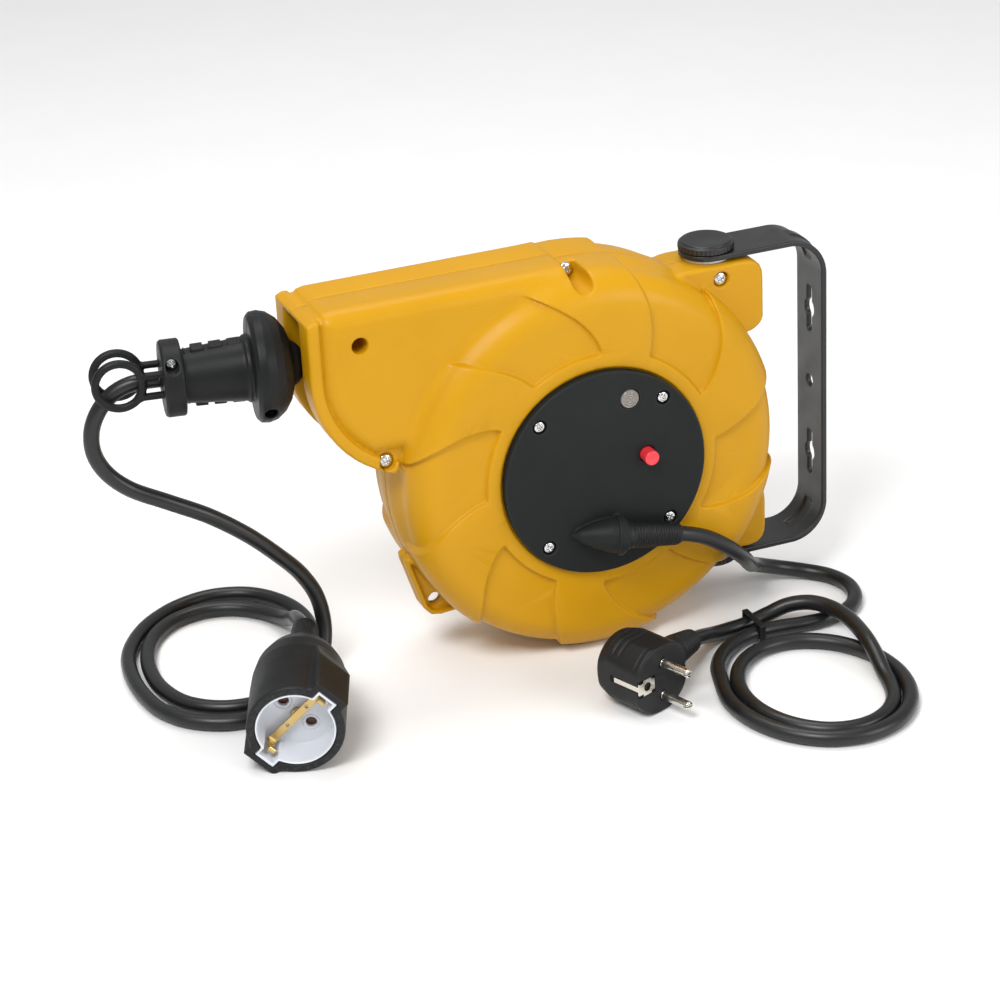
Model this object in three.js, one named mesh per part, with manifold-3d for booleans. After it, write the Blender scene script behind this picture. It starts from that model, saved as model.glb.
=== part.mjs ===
// Spring-driven extension cord reel on a swivelling steel wall bracket.
// Millimetres, +Z up. The wall is at x = 0 and the reel hangs out along -X; its face looks along -Y.
import * as THREE from 'three';
import { mergeVertices } from 'three/addons/utils/BufferGeometryUtils.js';
import Module from 'manifold-3d';

const wasm = await Module();
wasm.setup();

// ---------- driving dimensions (reel frame: origin on the drum axis, midway between the shells) ----------
const GAP = 0.3;                 // air between pieces that touch
const AXIS_X = -146;             // drum axis, seen from the wall face of the bracket
const AXIS_Z = -23.5;
const HOUSING_R = 108.5;
const FACE_Y = 40;               // half depth of the shells
const WALL = 3;
const DISC_R = 57.5;
const DISC_FRONT_Y = -44;
const SEAT_Y = -38.3;            // ledge that carries the disc
const OPENING_R = 43;
const SNOUT_Z = 111;             // top of the snout
const SNOUT_HALF = 28;
const MOUTH_ARC = { x: -91, z: 75 };   // centre of the curved mouth
const MOUTH_R = 62;
const SLOT_HALF = 12;
const PIVOT_X = 81;
const LUG_HALF = 17;
const LUG_TOP_Z = 92.6;
const LUG_BOTTOM_Z = -77.4;
const STRIP = { half: 15, thick: 3, topZ: 97.6, bottomZ: -82.4, wallX: 146 };
const CORD_R = 4.25;
const BENCH_Z = -HOUSING_R;      // the cords lie level with the lowest point of the housing
const CORD_Z = BENCH_Z + CORD_R + 0.05;
const BALL = new THREE.Vector3(-168, 0, 79.5);
const CABLE_YAW = THREE.MathUtils.degToRad(10);
const PULL = new THREE.Vector3(-Math.cos(CABLE_YAW), Math.sin(CABLE_YAW), 0);
const PANELS = 6;
const PANEL_STEP = Math.PI / 3;
const PANEL_START = THREE.MathUtils.degToRad(28.5);
const PANEL_WIDTH = THREE.MathUtils.degToRad(35.5);
const PANEL_DEPTH = 1.6;

// ---------- materials ----------
function finish(color, roughness, metalness = 0) {
  return new THREE.MeshStandardMaterial({ color, roughness, metalness });
}
const YELLOW = [0xe0a81e, 0.42];
const BLACK = [0x2e3130, 0.5];
const RUBBER = [0x1c1d1e, 0.62];
const STEEL_BLACK = [0x3a3b3d, 0.4, 0.3];
const ZINC = [0xb9bcc0, 0.3, 0.9];
const BRASS = [0xc9a24a, 0.3, 0.9];
const WHITE = [0xe9e9ea, 0.45];

// ---------- solids ----------
function solid(geometry) {
  const g = geometry.clone();
  g.deleteAttribute('normal');
  g.deleteAttribute('uv');
  const m = mergeVertices(g, 1e-4);
  const p = m.attributes.position.array;
  const kept = [];
  let volume = 0;
  const index = m.index.array;
  for (let i = 0; i < index.length; i += 3) {
    const [a, b, c] = [index[i], index[i + 1], index[i + 2]];
    if (a === b || b === c || a === c) continue;
    kept.push(a, b, c);
    const [ax, ay, az] = [p[3 * a], p[3 * a + 1], p[3 * a + 2]];
    const [bx, by, bz] = [p[3 * b], p[3 * b + 1], p[3 * b + 2]];
    const [cx, cy, cz] = [p[3 * c], p[3 * c + 1], p[3 * c + 2]];
    volume += ax * (by * cz - bz * cy) - ay * (bx * cz - bz * cx) + az * (bx * cy - by * cx);
  }
  if (volume < 0) {
    for (let i = 0; i < kept.length; i += 3) [kept[i], kept[i + 1]] = [kept[i + 1], kept[i]];
  }
  return new wasm.Manifold(new wasm.Mesh({
    numProp: 3, vertProperties: new Float32Array(p), triVerts: new Uint32Array(kept),
  }));
}
const join = (first, ...rest) => rest.reduce((sum, s) => sum.add(s), first);
const cut = (first, ...rest) => rest.reduce((left, s) => left.subtract(s), first);

function geometryOf(body) {
  const mesh = body.getMesh();
  const g = new THREE.BufferGeometry();
  g.setAttribute('position', new THREE.BufferAttribute(new Float32Array(mesh.vertProperties), 3));
  g.setIndex(new THREE.BufferAttribute(new Uint32Array(mesh.triVerts), 1));
  g.computeVertexNormals();
  return g;
}

function block(x0, x1, y0, y1, z0, z1) {
  const g = new THREE.BoxGeometry(x1 - x0, y1 - y0, z1 - z0);
  g.translate((x0 + x1) / 2, (y0 + y1) / 2, (z0 + z1) / 2);
  return solid(g);
}
function rod(axis, r, from, to, u, v, sides = 20) {
  const g = new THREE.CylinderGeometry(r, r, to - from, sides);
  g.translate(0, (from + to) / 2, 0);
  if (axis === 'x') { g.rotateZ(-Math.PI / 2); g.translate(0, u, v); }
  if (axis === 'y') g.translate(u, 0, v);
  if (axis === 'z') { g.rotateX(Math.PI / 2); g.translate(u, v, 0); }
  return solid(g);
}
// A closed [radius, y] profile turned about the Y axis.
function turned(profile, sides = 36) {
  const points = profile.map(([r, y]) => new THREE.Vector2(r, y));
  if (profile[0][0] > 0) points.push(points[0].clone());
  return solid(new THREE.LatheGeometry(points, sides));
}
function ring(rIn, rOut, y0, y1, sides = 36) {
  return turned([[rIn, y0], [rOut, y0], [rOut, y1], [rIn, y1]], sides);
}
// An outline in the XZ plane, pushed from y0 to y1.
function plate(outline, y0, y1, bevel = 0, segments = 10) {
  const points = Array.isArray(outline)
    ? outline.map(([x, z]) => new THREE.Vector2(x, z)) : outline.getPoints(segments);
  const spaced = points.filter((p, i) => p.distanceTo(points[(i + 1) % points.length]) > 0.05);
  const shape = new THREE.Shape(spaced);
  const g = new THREE.ExtrudeGeometry(shape, {
    depth: y1 - y0 - 2 * bevel, curveSegments: segments, bevelEnabled: bevel > 0,
    bevelThickness: bevel, bevelSize: bevel, bevelOffset: -bevel, bevelSegments: 2,
  });
  g.translate(0, 0, bevel);
  g.rotateX(Math.PI / 2);
  g.translate(0, y1, 0);
  return solid(g);
}
// A pan-head screw along +Y, turned as one profile; its head starts at y = 0.
function screw(headR, headH, shankR, length) {
  return turned([[0, 0], [headR * 0.72, 0], [headR, headH * 0.45], [headR, headH], [shankR, headH],
    [shankR, headH + length], [0, headH + length + 1]], 12);
}

// ---------- scene graph ----------
const object = new THREE.Group();
const reel = new THREE.Group();
reel.position.set(AXIS_X, 0, AXIS_Z);
object.add(reel);

function add(name, shape, look, parent = reel) {
  const geometry = shape.isBufferGeometry ? shape : geometryOf(shape);
  const mesh = new THREE.Mesh(geometry, finish(...look));
  mesh.name = name;
  parent.add(mesh);
  return mesh;
}

// ---------- housing ----------
const MOUTH_LOW = THREE.MathUtils.degToRad(252);   // lower end of the lip
function mouthOutline(radius, top, low = MOUTH_LOW) {
  const s = new THREE.Shape();
  s.moveTo(-10, top);
  s.lineTo(MOUTH_ARC.x - radius + 8, top);
  s.quadraticCurveTo(MOUTH_ARC.x - radius, top, MOUTH_ARC.x - radius, top - 8);
  s.absarc(MOUTH_ARC.x, MOUTH_ARC.z, radius, Math.PI, low, false);
  return s;
}
function snoutOutline(inset) {
  const radius = MOUTH_R - 6 - inset;
  const low = Math.PI + Math.asin((MOUTH_ARC.z - 28.5 - inset) / radius);
  const s = mouthOutline(radius, SNOUT_Z - inset, low);
  s.lineTo(-70, 28.5 + inset);
  s.lineTo(-10, 60);
  return s;
}
function neckOutline() {
  const s = mouthOutline(MOUTH_R - 4.5, SNOUT_Z - 3);
  s.lineTo(-104, 12);
  s.lineTo(-104, 32);
  s.lineTo(-60, 40);
  return s;
}
function lipOutline() {
  const s = new THREE.Shape();
  const inner = MOUTH_R - 6;
  s.moveTo(MOUTH_ARC.x - MOUTH_R, 104);
  s.lineTo(MOUTH_ARC.x - MOUTH_R, MOUTH_ARC.z);
  s.absarc(MOUTH_ARC.x, MOUTH_ARC.z, MOUTH_R, Math.PI, MOUTH_LOW, false);
  s.absarc(MOUTH_ARC.x, MOUTH_ARC.z, inner, MOUTH_LOW, Math.PI, true);
  s.lineTo(MOUTH_ARC.x - inner, 108);
  s.lineTo(MOUTH_ARC.x - MOUTH_R + 3, 108);
  return s;
}
function slotOutline() {
  const s = new THREE.Shape();
  const low = THREE.MathUtils.degToRad(234);
  s.moveTo(MOUTH_ARC.x - MOUTH_R - 3, 103);
  s.lineTo(MOUTH_ARC.x - MOUTH_R - 3, MOUTH_ARC.z);
  s.absarc(MOUTH_ARC.x, MOUTH_ARC.z, MOUTH_R + 3, Math.PI, low, false);
  s.absarc(MOUTH_ARC.x, MOUTH_ARC.z, MOUTH_R - 14, low, Math.PI, true);
  s.lineTo(MOUTH_ARC.x - MOUTH_R + 14, 103);
  return s;
}
// One recessed swirl panel: its sides lean round the axis as they run outwards.
function swirlPanel(start) {
  const at = (r, angle) => [r * Math.cos(angle), r * Math.sin(angle)];
  const lean = (r, amount) => amount * ((r - 66) / 36) ** 1.3;
  const outline = [];
  for (let r = 66; r <= 113; r += 11.5) outline.push(at(r, start + lean(r, 0.3)));
  for (let r = 112; r >= 66; r -= 11.5) outline.push(at(r, start + PANEL_WIDTH + lean(r, 0.19)));
  for (let k = 3; k >= 1; k--) outline.push(at(66, start + (PANEL_WIDTH * k) / 4));
  return outline;
}
const LUG_SCREW = { x: 82, z: 84.5 };
const HOUSING_SCREWS = [
  { name: 'top', x: -4.5, z: 104.5, seat: -8, boss: 7.5, depth: 11, well: 5.4 },
  { name: 'upper_lug', x: 82, z: 84.5, seat: -13.5, boss: 7, depth: 16, well: 4.4 },
  { name: 'lower_lug', x: 82, z: -69.3, seat: -13.5, boss: 7, depth: 16, well: 4.4 },
  { name: 'snout_low', x: -115, z: 23.5, seat: -21, boss: 6, depth: 23, well: 4.4 },
  { name: 'snout_deep', x: -126, z: 92, seat: -8, boss: 6.5, depth: 26, well: 4.4 },
];
const SCREW_HEAD = 2.6;
const SCREW_END_Y = 14;

const PROFILE = [[92, 40], [98, 38.8], [103, 35.6], [106.4, 30.8], [108, 26], [HOUSING_R, 21]];
function housingHalf(front) {
  const s = front ? -1 : 1;
  const seam = s * GAP / 2;
  const outer = [[0, s * FACE_Y], ...PROFILE.map(([r, y]) => [r, s * y]), [HOUSING_R, seam], [0, seam]];
  let body = turned(outer, 48);
  const yRange = (a, b) => (front ? [-b, -a] : [a, b]);
  const snout = plate(snoutOutline(0), -SNOUT_HALF, SNOUT_HALF, 4, 5);
  const neck = plate(neckOutline(), -22.5, 22.5, 0, 6);
  const lip = plate(lipOutline(), -26.5, 26.5, 0, 8);
  const lugTop = plate([[50, LUG_TOP_Z], [98, LUG_TOP_Z], [107, 84], [107, 57], [100, 51], [60, 51]],
    -LUG_HALF, LUG_HALF);
  const lugLow = plate([[60, LUG_BOTTOM_Z], [98, LUG_BOTTOM_Z], [107, -69], [107, -40], [60, -40]],
    -LUG_HALF, LUG_HALF);
  const hook = plate([[-104, -42], [-93.4, -76.4], [-89, -80.4], [-84, -81.4], [-72, -81], [-70, -60]],
    -7, 7);
  body = join(body, snout, neck, lip, lugTop, lugLow, hook);
  const [h0, h1] = yRange(GAP / 2, 60);
  body = body.intersect(block(-200, 150, h0, h1, -150, 150));
  const skin = body;

  // hollow for the drum and the cable, with a thicker face round the opening
  const hollow = [[0, s * 34], [61, s * 34], [61, s * 37], [90, s * 37], [99, s * 34], [104, s * 28],
    [HOUSING_R - WALL, s * 21], [HOUSING_R - WALL, -s], [0, -s]];
  body = cut(body, turned(hollow, 40));
  const inner = SNOUT_HALF - WALL;
  body = cut(body, plate(snoutOutline(WALL), -inner, inner, 0, 5));
  body = cut(body, plate(slotOutline(), -SLOT_HALF, SLOT_HALF, 0, 6));
  body = cut(body, rod('y', 3.9, -10, 10, -85.8, -73, 16));

  // screw bosses, wells and holes
  for (const w of HOUSING_SCREWS) {
    const [b0, b1] = yRange(GAP / 2, front ? w.depth : Math.max(18, w.depth));
    body = join(body, rod('y', w.boss, b0, b1, w.x, w.z, 14));
  }
  if (front) body = join(body, rod('y', 7.5, -35.5, -1, -4.5, 104.5, 14).intersect(skin));
  // flank above the swinging lower arm: walled off from the hollow, open at the back
  const flank = cut(block(60, 84, ...yRange(GAP / 2, front ? 19 : 38), -92, -60),
    rod('y', 98.6, -50, 50, 0, 0, 60)).intersect(rod('y', 106.5, -50, 50, 0, 0, 60));
  body = join(body, flank);
  body = cut(body, rod('z', 15.8, -130, LUG_BOTTOM_Z, PIVOT_X, 0, 36));
  if (!front) body = cut(body, block(65.2, 130, -1, 60, -130, LUG_BOTTOM_Z));
  for (const w of HOUSING_SCREWS) {
    body = cut(body, rod('y', 2.15, -30, SCREW_END_Y + 0.6, w.x, w.z, 10));
    if (front) body = cut(body, rod('y', w.well, -60, w.seat, w.x, w.z, 14));
    if (front && w.name === 'top') {
      body = cut(body, block(w.x - w.well, w.x + w.well, -60, w.seat, w.z, 130));
    }
  }
  // sockets for the pivot bolts
  for (const [low, high, flange] of [[87.6, 95, 90.6], [-80, -72.4, -75.4]]) {
    body = cut(body, rod('z', 4.4, low, high, PIVOT_X, 0, 20));
    const [f0, f1] = low > 0 ? [low, flange] : [flange, high];
    body = cut(body, rod('z', 6.4, f0, f1, PIVOT_X, 0, 20));
  }
  for (let k = 0; k < PANELS; k++) {
    const y0 = s * FACE_Y;
    const panel = plate(swirlPanel(PANEL_START + k * PANEL_STEP), Math.min(y0 - s * PANEL_DEPTH, y0 + s),
      Math.max(y0 - s * PANEL_DEPTH, y0 + s));
    body = cut(body, panel);
  }
  return body;
}

const LENS = [14.8, 39.8];
let front = housingHalf(true);
front = cut(front, rod('y', OPENING_R, -60, -20, 0, 0, 48), rod('y', DISC_R + 0.4, -60, SEAT_Y, 0, 0, 48));
const DISC_SCREWS = [47, 137, 227, 317].map((deg) => {
  const a = THREE.MathUtils.degToRad(deg);
  return [50 * Math.cos(a), 50 * Math.sin(a)];
});
for (const [x, z] of DISC_SCREWS) front = cut(front, rod('y', 1.9, -60, -30, x, z, 10));
front = cut(front, rod('y', 7, -45, -30, ...LENS, 16));
add('front_shell', front, YELLOW);

// The rear shell carries the fixed axle on a round boss and the pawl on a small post.
const AXLE_R = 8;
const PAWL = { x: 34, z: 91.9 };
let rear = housingHalf(false);
rear = join(rear, rod('y', 16, 31.5, 37.5, 0, 0, 32), rod('y', 1.5, 24.9, 37, PAWL.x, PAWL.z, 10));
rear = cut(rear, rod('y', AXLE_R + GAP, 20, 36.6, 0, 0, 24));
add('rear_shell', rear, YELLOW);

for (const w of HOUSING_SCREWS) {
  const m = add(`housing_screw_${w.name}`, screw(3.7, SCREW_HEAD, 1.8, SCREW_END_Y - w.seat - 1), ZINC);
  m.position.set(w.x, w.seat - SCREW_HEAD - 0.05, w.z);
}

// ---------- black disc with lamp, reset button and cord gland ----------
const BUTTON = [24, 6];
const GLAND_DIR = new THREE.Vector3(1, -0.02, -0.19).normalize();
const GLAND_END = new THREE.Vector3(4.5, -52, -34);
function along(geometry, origin, dir) {
  geometry.applyQuaternion(new THREE.Quaternion().setFromUnitVectors(new THREE.Vector3(0, 1, 0), dir));
  geometry.translate(origin.x, origin.y, origin.z);
  return solid(geometry);
}
function turnedAlong(profile, sides, origin, dir) {
  const points = profile.map(([r, y]) => new THREE.Vector2(r, y));
  if (profile[0][0] > 0) points.push(points[0].clone());
  return along(new THREE.LatheGeometry(points, sides), origin, dir);
}
const discBack = SEAT_Y - GAP;
let disc = turned([[0, DISC_FRONT_Y], [DISC_R - 1, DISC_FRONT_Y], [DISC_R, DISC_FRONT_Y + 1],
  [DISC_R, discBack], [0, discBack]], 48);
const hoodDir = new THREE.Vector3(1, -0.24, -0.11).normalize();
const hoodProfile = [[0, -28], [3.6, -23], [6.8, -15.5], [9.2, -7], [10.2, 0], [10.5, 6], [0, 6]];
let hood = turnedAlong(hoodProfile, 20, GLAND_END, hoodDir);
const beyond = new THREE.BoxGeometry(60, 60, 60);
beyond.translate(0, 30, 0);
hood = cut(hood, along(beyond, GLAND_END, GLAND_DIR));
disc = join(disc, hood).intersect(block(-80, 80, -80, discBack, -80, 80));
disc = cut(disc, turnedAlong([[0, -11], [CORD_R + 0.35, -11], [CORD_R + 0.35, 20], [0, 20]], 16, GLAND_END,
  GLAND_DIR));
disc = cut(disc, rod('y', 5.6, -50, -30, ...LENS, 20), rod('y', 4.6, -50, -30, ...BUTTON, 20));
for (const [x, z] of DISC_SCREWS) {
  disc = cut(disc, rod('y', 2.1, -50, -30, x, z, 12), rod('y', 3.9, -50, DISC_FRONT_Y + 2.6, x, z, 16));
}
add('cover_disc', disc, BLACK);
DISC_SCREWS.forEach(([x, z], i) => {
  const m = add(`disc_screw_${i + 1}`, screw(3, 2.4, 1.6, 8), ZINC);
  m.position.set(x, DISC_FRONT_Y + 2.55 - 2.4, z);
});
add('indicator_lens', join(rod('y', 5.2, -44.6, -38, ...LENS, 20), rod('y', 6.5, -38.3, -37, ...LENS, 20)),
  [0x77706a, 0.25]);
add('indicator_lamp', join(rod('y', 2.5, -36.7, -32, ...LENS, 12), rod('y', 4, -33, -28.6, ...LENS, 12)),
  [0xd9c9b0, 0.3]);
const button = join(rod('y', 4.1, -50.5, -39, ...BUTTON, 24), rod('y', 5.6, -38, -36.6, ...BUTTON, 24),
  rod('y', 4.1, -39.5, -37.5, ...BUTTON, 24), rod('y', 1.6, -37, -33, ...BUTTON, 12));
add('reset_button', button, [0xd23a44, 0.35]);
const breaker = cut(block(14, 34, -36.2, -30.2, -8, 20), rod('y', 2.1, -40, -23, ...BUTTON, 12),
  rod('y', 6.2, -40, -33.6, ...BUTTON, 16));
add('circuit_breaker', breaker, [0x55585c, 0.5]);
function tube(points, radius, steps, sides) {
  const section = new THREE.Shape();
  for (let i = 0; i < sides; i++) {
    const a = (i / sides) * 2 * Math.PI;
    section[i ? 'lineTo' : 'moveTo'](radius * Math.cos(a), radius * Math.sin(a));
  }
  const path = new THREE.CatmullRomCurve3(points, false, 'centripetal');
  return new THREE.ExtrudeGeometry(section, { steps, extrudePath: path, bevelEnabled: false });
}

const sleeveStart = GLAND_END.clone().addScaledVector(GLAND_DIR, 0.4);
const sleeve = turnedAlong([[CORD_R + GAP, 0], [7.6, 0], [7.4, 4], [6.4, 18], [5.6, 32], [CORD_R + GAP, 33]],
  24, sleeveStart, GLAND_DIR);
add('gland_sleeve', sleeve, RUBBER);

// ---------- drum, cable and drive ----------
const CABLE_R = 83.2;            // outside of the wound cable
const DRUM_FLANGE_R = 93;
add('drum_axle', cut(rod('y', AXLE_R, -20, 36.3, 0, 0, 24), rod('y', 2.6, -30, 0, 0, 0, 16)), ZINC);
const HUB_BORE = AXLE_R + GAP;
add('drum_front_half', join(ring(HUB_BORE, DRUM_FLANGE_R, -28, -25.4), ring(36, 40, -25.5, -0.15),
  ring(HUB_BORE, 37, -25.5, -21), ring(HUB_BORE, 13, -21.5, -13)), [0x3c3f42, 0.5]);
let drumRear = join(ring(36, DRUM_FLANGE_R, 25.4, 28), ring(36, 40, 0.15, 25.5), ring(HUB_BORE, 37, 8, 11),
  ring(HUB_BORE, 12, 10.5, 24));
const NOTCHES = 6;
for (let k = 0; k < NOTCHES; k++) {
  drumRear = cut(drumRear, block(86.5, 96, 24, 30, -4.2, 4.2).rotate([0, -84 - k * 360 / NOTCHES, 0]));
}
add('drum_rear_half', drumRear, [0x3c3f42, 0.5]);
add('cable_winding', ring(40.4, CABLE_R, -25, 25), RUBBER);
add('spring_cover', ring(14, 35.6, 24.8, 27, 36), [0x6b6f73, 0.4, 0.7]);
function spiralSpring() {
  const points = [];
  const turns = 3.5;
  for (let i = 0; i <= turns * 14; i++) {
    const t = i / (turns * 14);
    const a = t * turns * 2 * Math.PI;
    const r = 13.4 + 20.6 * t;
    points.push([r * Math.cos(a), r * Math.sin(a)]);
  }
  const back = points.map(([x, z]) => {
    const r = Math.hypot(x, z);
    return [x * (r + 1) / r, z * (r + 1) / r];
  }).reverse();
  return plate([...points, ...back], 11.6, 24);
}
add('spiral_spring', spiralSpring(), [0x8d9196, 0.35, 0.9]);
[['inner', 18], ['middle', 24], ['outer', 30]].forEach(([name, r]) => {
  add(`slip_ring_${name}`, ring(r, r + 3.2, -29.7, -28.3, 24), BRASS);
});
const holder = cut(block(-34, -14, -35, -31.6, -5, 5), ...[-16.4, -22.4, -28.4].map((x) =>
  block(x - 3.4, x - 0.4, -40, -30, -3, 3)));
add('brush_holder', cut(join(holder, block(-42, -33, -37.6, -31.6, -6, 6)),
  rod('y', 1.9, -40, -30, -39, 0, 12)), [0xa08a5a, 0.6]);
[['inner', -16.4], ['middle', -22.4], ['outer', -28.4]].forEach(([name, x]) => {
  add(`brush_${name}`, block(x - 3.1, x - 0.7, -35.5, -30, -2.7, 2.7), [0x3a3a3c, 0.6]);
});

// spring-loaded pawl that drops into the notches of the rear flange; it turns on a post of the rear shell
let pawl = join(rod('y', 3.4, 25.4, 28.6, PAWL.x, PAWL.z, 16),
  plate([[34, 89.4], [34, 94.6], [16, 99.6], [9, 99.2], [8.6, 94], [12.4, 94.2], [13, 96.6], [16, 96.4],
    [25, 94]], 25.5, 28.5));
pawl = cut(pawl, rod('y', 1.8, 20, 40, PAWL.x, PAWL.z, 10));
add('ratchet_pawl', pawl, [0x7c7f83, 0.4, 0.7]);

// ---------- cable stopper and outlet cord ----------
const outlet = new THREE.Group();
outlet.position.copy(BALL);
outlet.rotation.z = -CABLE_YAW;
reel.add(outlet);
// the dome looks towards the mouth, the sleeve and the rings away from it
const BORE = CORD_R + GAP;
const stopperProfile = [[BORE, 19], [7.6, 18], [10.6, 15.4], [12, 13], [19, 10.6], [24.2, 7.1], [27.8, 2.4],
  [29, -2], [28.6, -6], [26.5, -8], [16.8, -8.4], [14, -43], [19.6, -43.4], [20, -46], [20, -52], [19, -54], [BORE, -54]];
function stopperHalf(s) {
  const profile = stopperProfile.map(([r, x]) => [r, x]);
  let body = turnedAlong(profile, 24, new THREE.Vector3(), new THREE.Vector3(1, 0, 0));
  body = body.intersect(block(-120, 60, Math.min(s * 0.15, s * 60), Math.max(s * 0.15, s * 60), -60, 60));
  const y0 = Math.min(s * 5.2, s * 9.6);
  const y1 = y0 + 4.4;
  const strap = block(-66, -53, y0, y1, -7.4, 7.4);
  const loop = rod('y', 14, y0, y1, -76, 2, 28);
  body = join(body, strap, loop);
  body = cut(body, rod('y', 10, -20, 20, -76, 2, 24),
    block(-64, -55.5, s > 0 ? 0 : -20, s > 0 ? 20 : 0, -3.8, 3.8));
  for (const [x, z] of STOPPER_SCREWS) {
    body = cut(body, rod('y', 1.9, -12, 12, x, z, 12));
    if (s < 0) body = cut(body, rod('y', 3.4, -40, -9, x, z, 14));
  }
  return body;
}
const STOPPER_SCREWS = [[-2, -17], [-49, 12]];
add('stopper_front_half', stopperHalf(-1), BLACK, outlet);
add('stopper_rear_half', stopperHalf(1), BLACK, outlet);
STOPPER_SCREWS.forEach(([x, z], i) => {
  const m = add(`stopper_screw_${i + 1}`, screw(3, 2.2, 1.6, 17), ZINC, outlet);
  m.position.set(x, -9.05 - 2.2, z);
});
// straight stretch from the winding, through the mouth and the stopper
const leadRoute = [[-54.8, 0], [-20, 0], [20, 0], [50, 0.1], [90, 1.5], [131, 4.8]];
add('cable_lead', solid(tube(leadRoute.map(([x, y]) => new THREE.Vector3(x, y, 0)), CORD_R, 12, 10)), RUBBER,
  outlet);

// ---------- free cords: routes in the reel frame ----------
const V = (x, y, z) => new THREE.Vector3(x, y, z);
const cordStart = BALL.clone().addScaledVector(PULL, 55.4);
const outletRoute = [
  cordStart, V(-228.5, 10.7, 79.5), V(-237, 12.2, 78.7), V(-245.8, 14, 74.7), V(-253.6, 15.5, 66.5),
  V(-258.3, 16.8, 55.5), V(-258.5, 17.5, 43), V(-253.5, 17.5, 31), V(-242.5, 16.5, 19.5), V(-223, 13.5, 8.5),
  V(-203, 11.5, -3), V(-184, 10, -17.5), V(-168.5, 10.5, -33), V(-155.3, 13, -49), V(-147, 14, -65.5),
  V(-145.5, 10.5, -81.5), V(-149.5, 4, -94), V(-158, -5.5, -102), V(-169.5, -16, CORD_Z),
  V(-183, -24.5, CORD_Z), V(-197.5, -29.3, CORD_Z), V(-213.5, -28, CORD_Z), V(-231, -17, CORD_Z),
  V(-242, 1, CORD_Z), V(-246, 22, CORD_Z), V(-246, 43.5, CORD_Z), V(-242, 65, CORD_Z), V(-232.5, 84, CORD_Z),
  V(-218.5, 100, CORD_Z), V(-200, 111.3, CORD_Z), V(-179.5, 115, CORD_Z), V(-159.5, 108, CORD_Z),
  V(-146.2, 92, CORD_Z), V(-140, 71.5, CORD_Z), V(-141, 50, CORD_Z), V(-147, 29.5, CORD_Z),
  V(-157, 10.5, CORD_Z), V(-171, -6, CORD_Z), V(-190, -15, CORD_Z), V(-210.5, -12.5, CORD_Z),
  V(-226.7, 0.5, CORD_Z), V(-234.5, 20.5, CORD_Z), V(-235.5, 42, CORD_Z), V(-231.5, 63, CORD_Z),
  V(-222.2, 82, CORD_Z), V(-207, 95.5, CORD_Z), V(-187.5, 99.5, CORD_Z), V(-171.5, 94.5, CORD_Z),
  V(-161, 85.5, CORD_Z), V(-154, 73, -103), V(-151.5, 59.5, -99), V(-151.8, 46.5, -92.5),
  V(-154.5, 33.5, -85.5), V(-156.5, 19, -80.6),
];
const COUPLER = {
  face: V(-195, -88, -83), turn: THREE.MathUtils.degToRad(-21.6), tilt: THREE.MathUtils.degToRad(2.6),
};
const couplerAxis = V(0, 1, 0).applyEuler(new THREE.Euler(COUPLER.tilt, 0, COUPLER.turn, 'ZYX'));
const BODY_LENGTH = 72;
const BOOT_LENGTH = 30;
const bootEnd = COUPLER.face.clone().addScaledVector(couplerAxis, BODY_LENGTH + BOOT_LENGTH + 0.4);
outletRoute.push(bootEnd);
add('outlet_cord', solid(tube(outletRoute, CORD_R, 80, 8)), RUBBER);

const mainsRoute = [-10, 16, 34].map((t) => sleeveStart.clone().addScaledVector(GLAND_DIR, t));
mainsRoute.push(V(54, -51, -47), V(67, -48.4, -56.5), V(80.5, -41.3, -69.5), V(92, -27, -83),
  V(102.5, -12.6, -92.3));
// the turn back beside the bracket, settling on the bench
const TURN = { x: 117.5, y: -38, r: 30 };
[-99.5, -103.4, CORD_Z, CORD_Z, CORD_Z, CORD_Z, CORD_Z].forEach((z, i) => {
  const a = THREE.MathUtils.degToRad(90 - 30 * i);
  mainsRoute.push(V(TURN.x + TURN.r * Math.cos(a), TURN.y + TURN.r * Math.sin(a), z));
});
mainsRoute.push(V(104, -67.5, CORD_Z), V(91, -65.5, CORD_Z), V(77.5, -65, CORD_Z), V(63.5, -69, CORD_Z),
  V(51, -77.5, CORD_Z), V(41.5, -89.5, CORD_Z));
// the coil, each turn beside the last
const COIL = { x: 79.5, y: -133, wide: 50, deep: 58.5, pitch: 9, steps: 24, degrees: 24 };
for (let i = 0; i < COIL.steps; i++) {
  const a = THREE.MathUtils.degToRad(150 + i * COIL.degrees);
  const inset = (COIL.pitch * i * COIL.degrees) / 360;
  mainsRoute.push(V(COIL.x + (COIL.wide - inset) * Math.cos(a),
    COIL.y + (COIL.deep - 0.95 * inset) * Math.sin(a), CORD_Z));
}
// over the coil and the first run in one long low hump, then to the plug
mainsRoute.push(V(115.6, -137, -102.5), V(117, -126, -98.3), V(118.4, -114, -95.3), V(120, -100, -94.8),
  V(120.4, -86, -94.8), V(117.5, -72.5, -94.8), V(110.5, -61.8, -95.2), V(100.5, -55.3, -97.5),
  V(89.5, -53, -101.5), V(77.5, -53.2, CORD_Z), V(65, -55, CORD_Z), V(53, -59.5, -102), V(43, -66, -98));
const PLUG = { face: V(-1.5, -113, -89.3), turn: THREE.MathUtils.degToRad(22), radius: 20.2 };
const plugBootStart = V(8.5, -90.5, -90);
const plugBootEnd = V(33.5, -73, -94.5);
mainsRoute.push(plugBootEnd);
add('mains_cord', solid(tube(mainsRoute, CORD_R, 84, 8)), RUBBER);
const tieBand = cut(block(76, 80, -70.6, -47.8, BENCH_Z, -98), block(70, 90, -69.8, -48.6, -108.45, -98.8));
add('coil_tie', tieBand, RUBBER);

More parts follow.
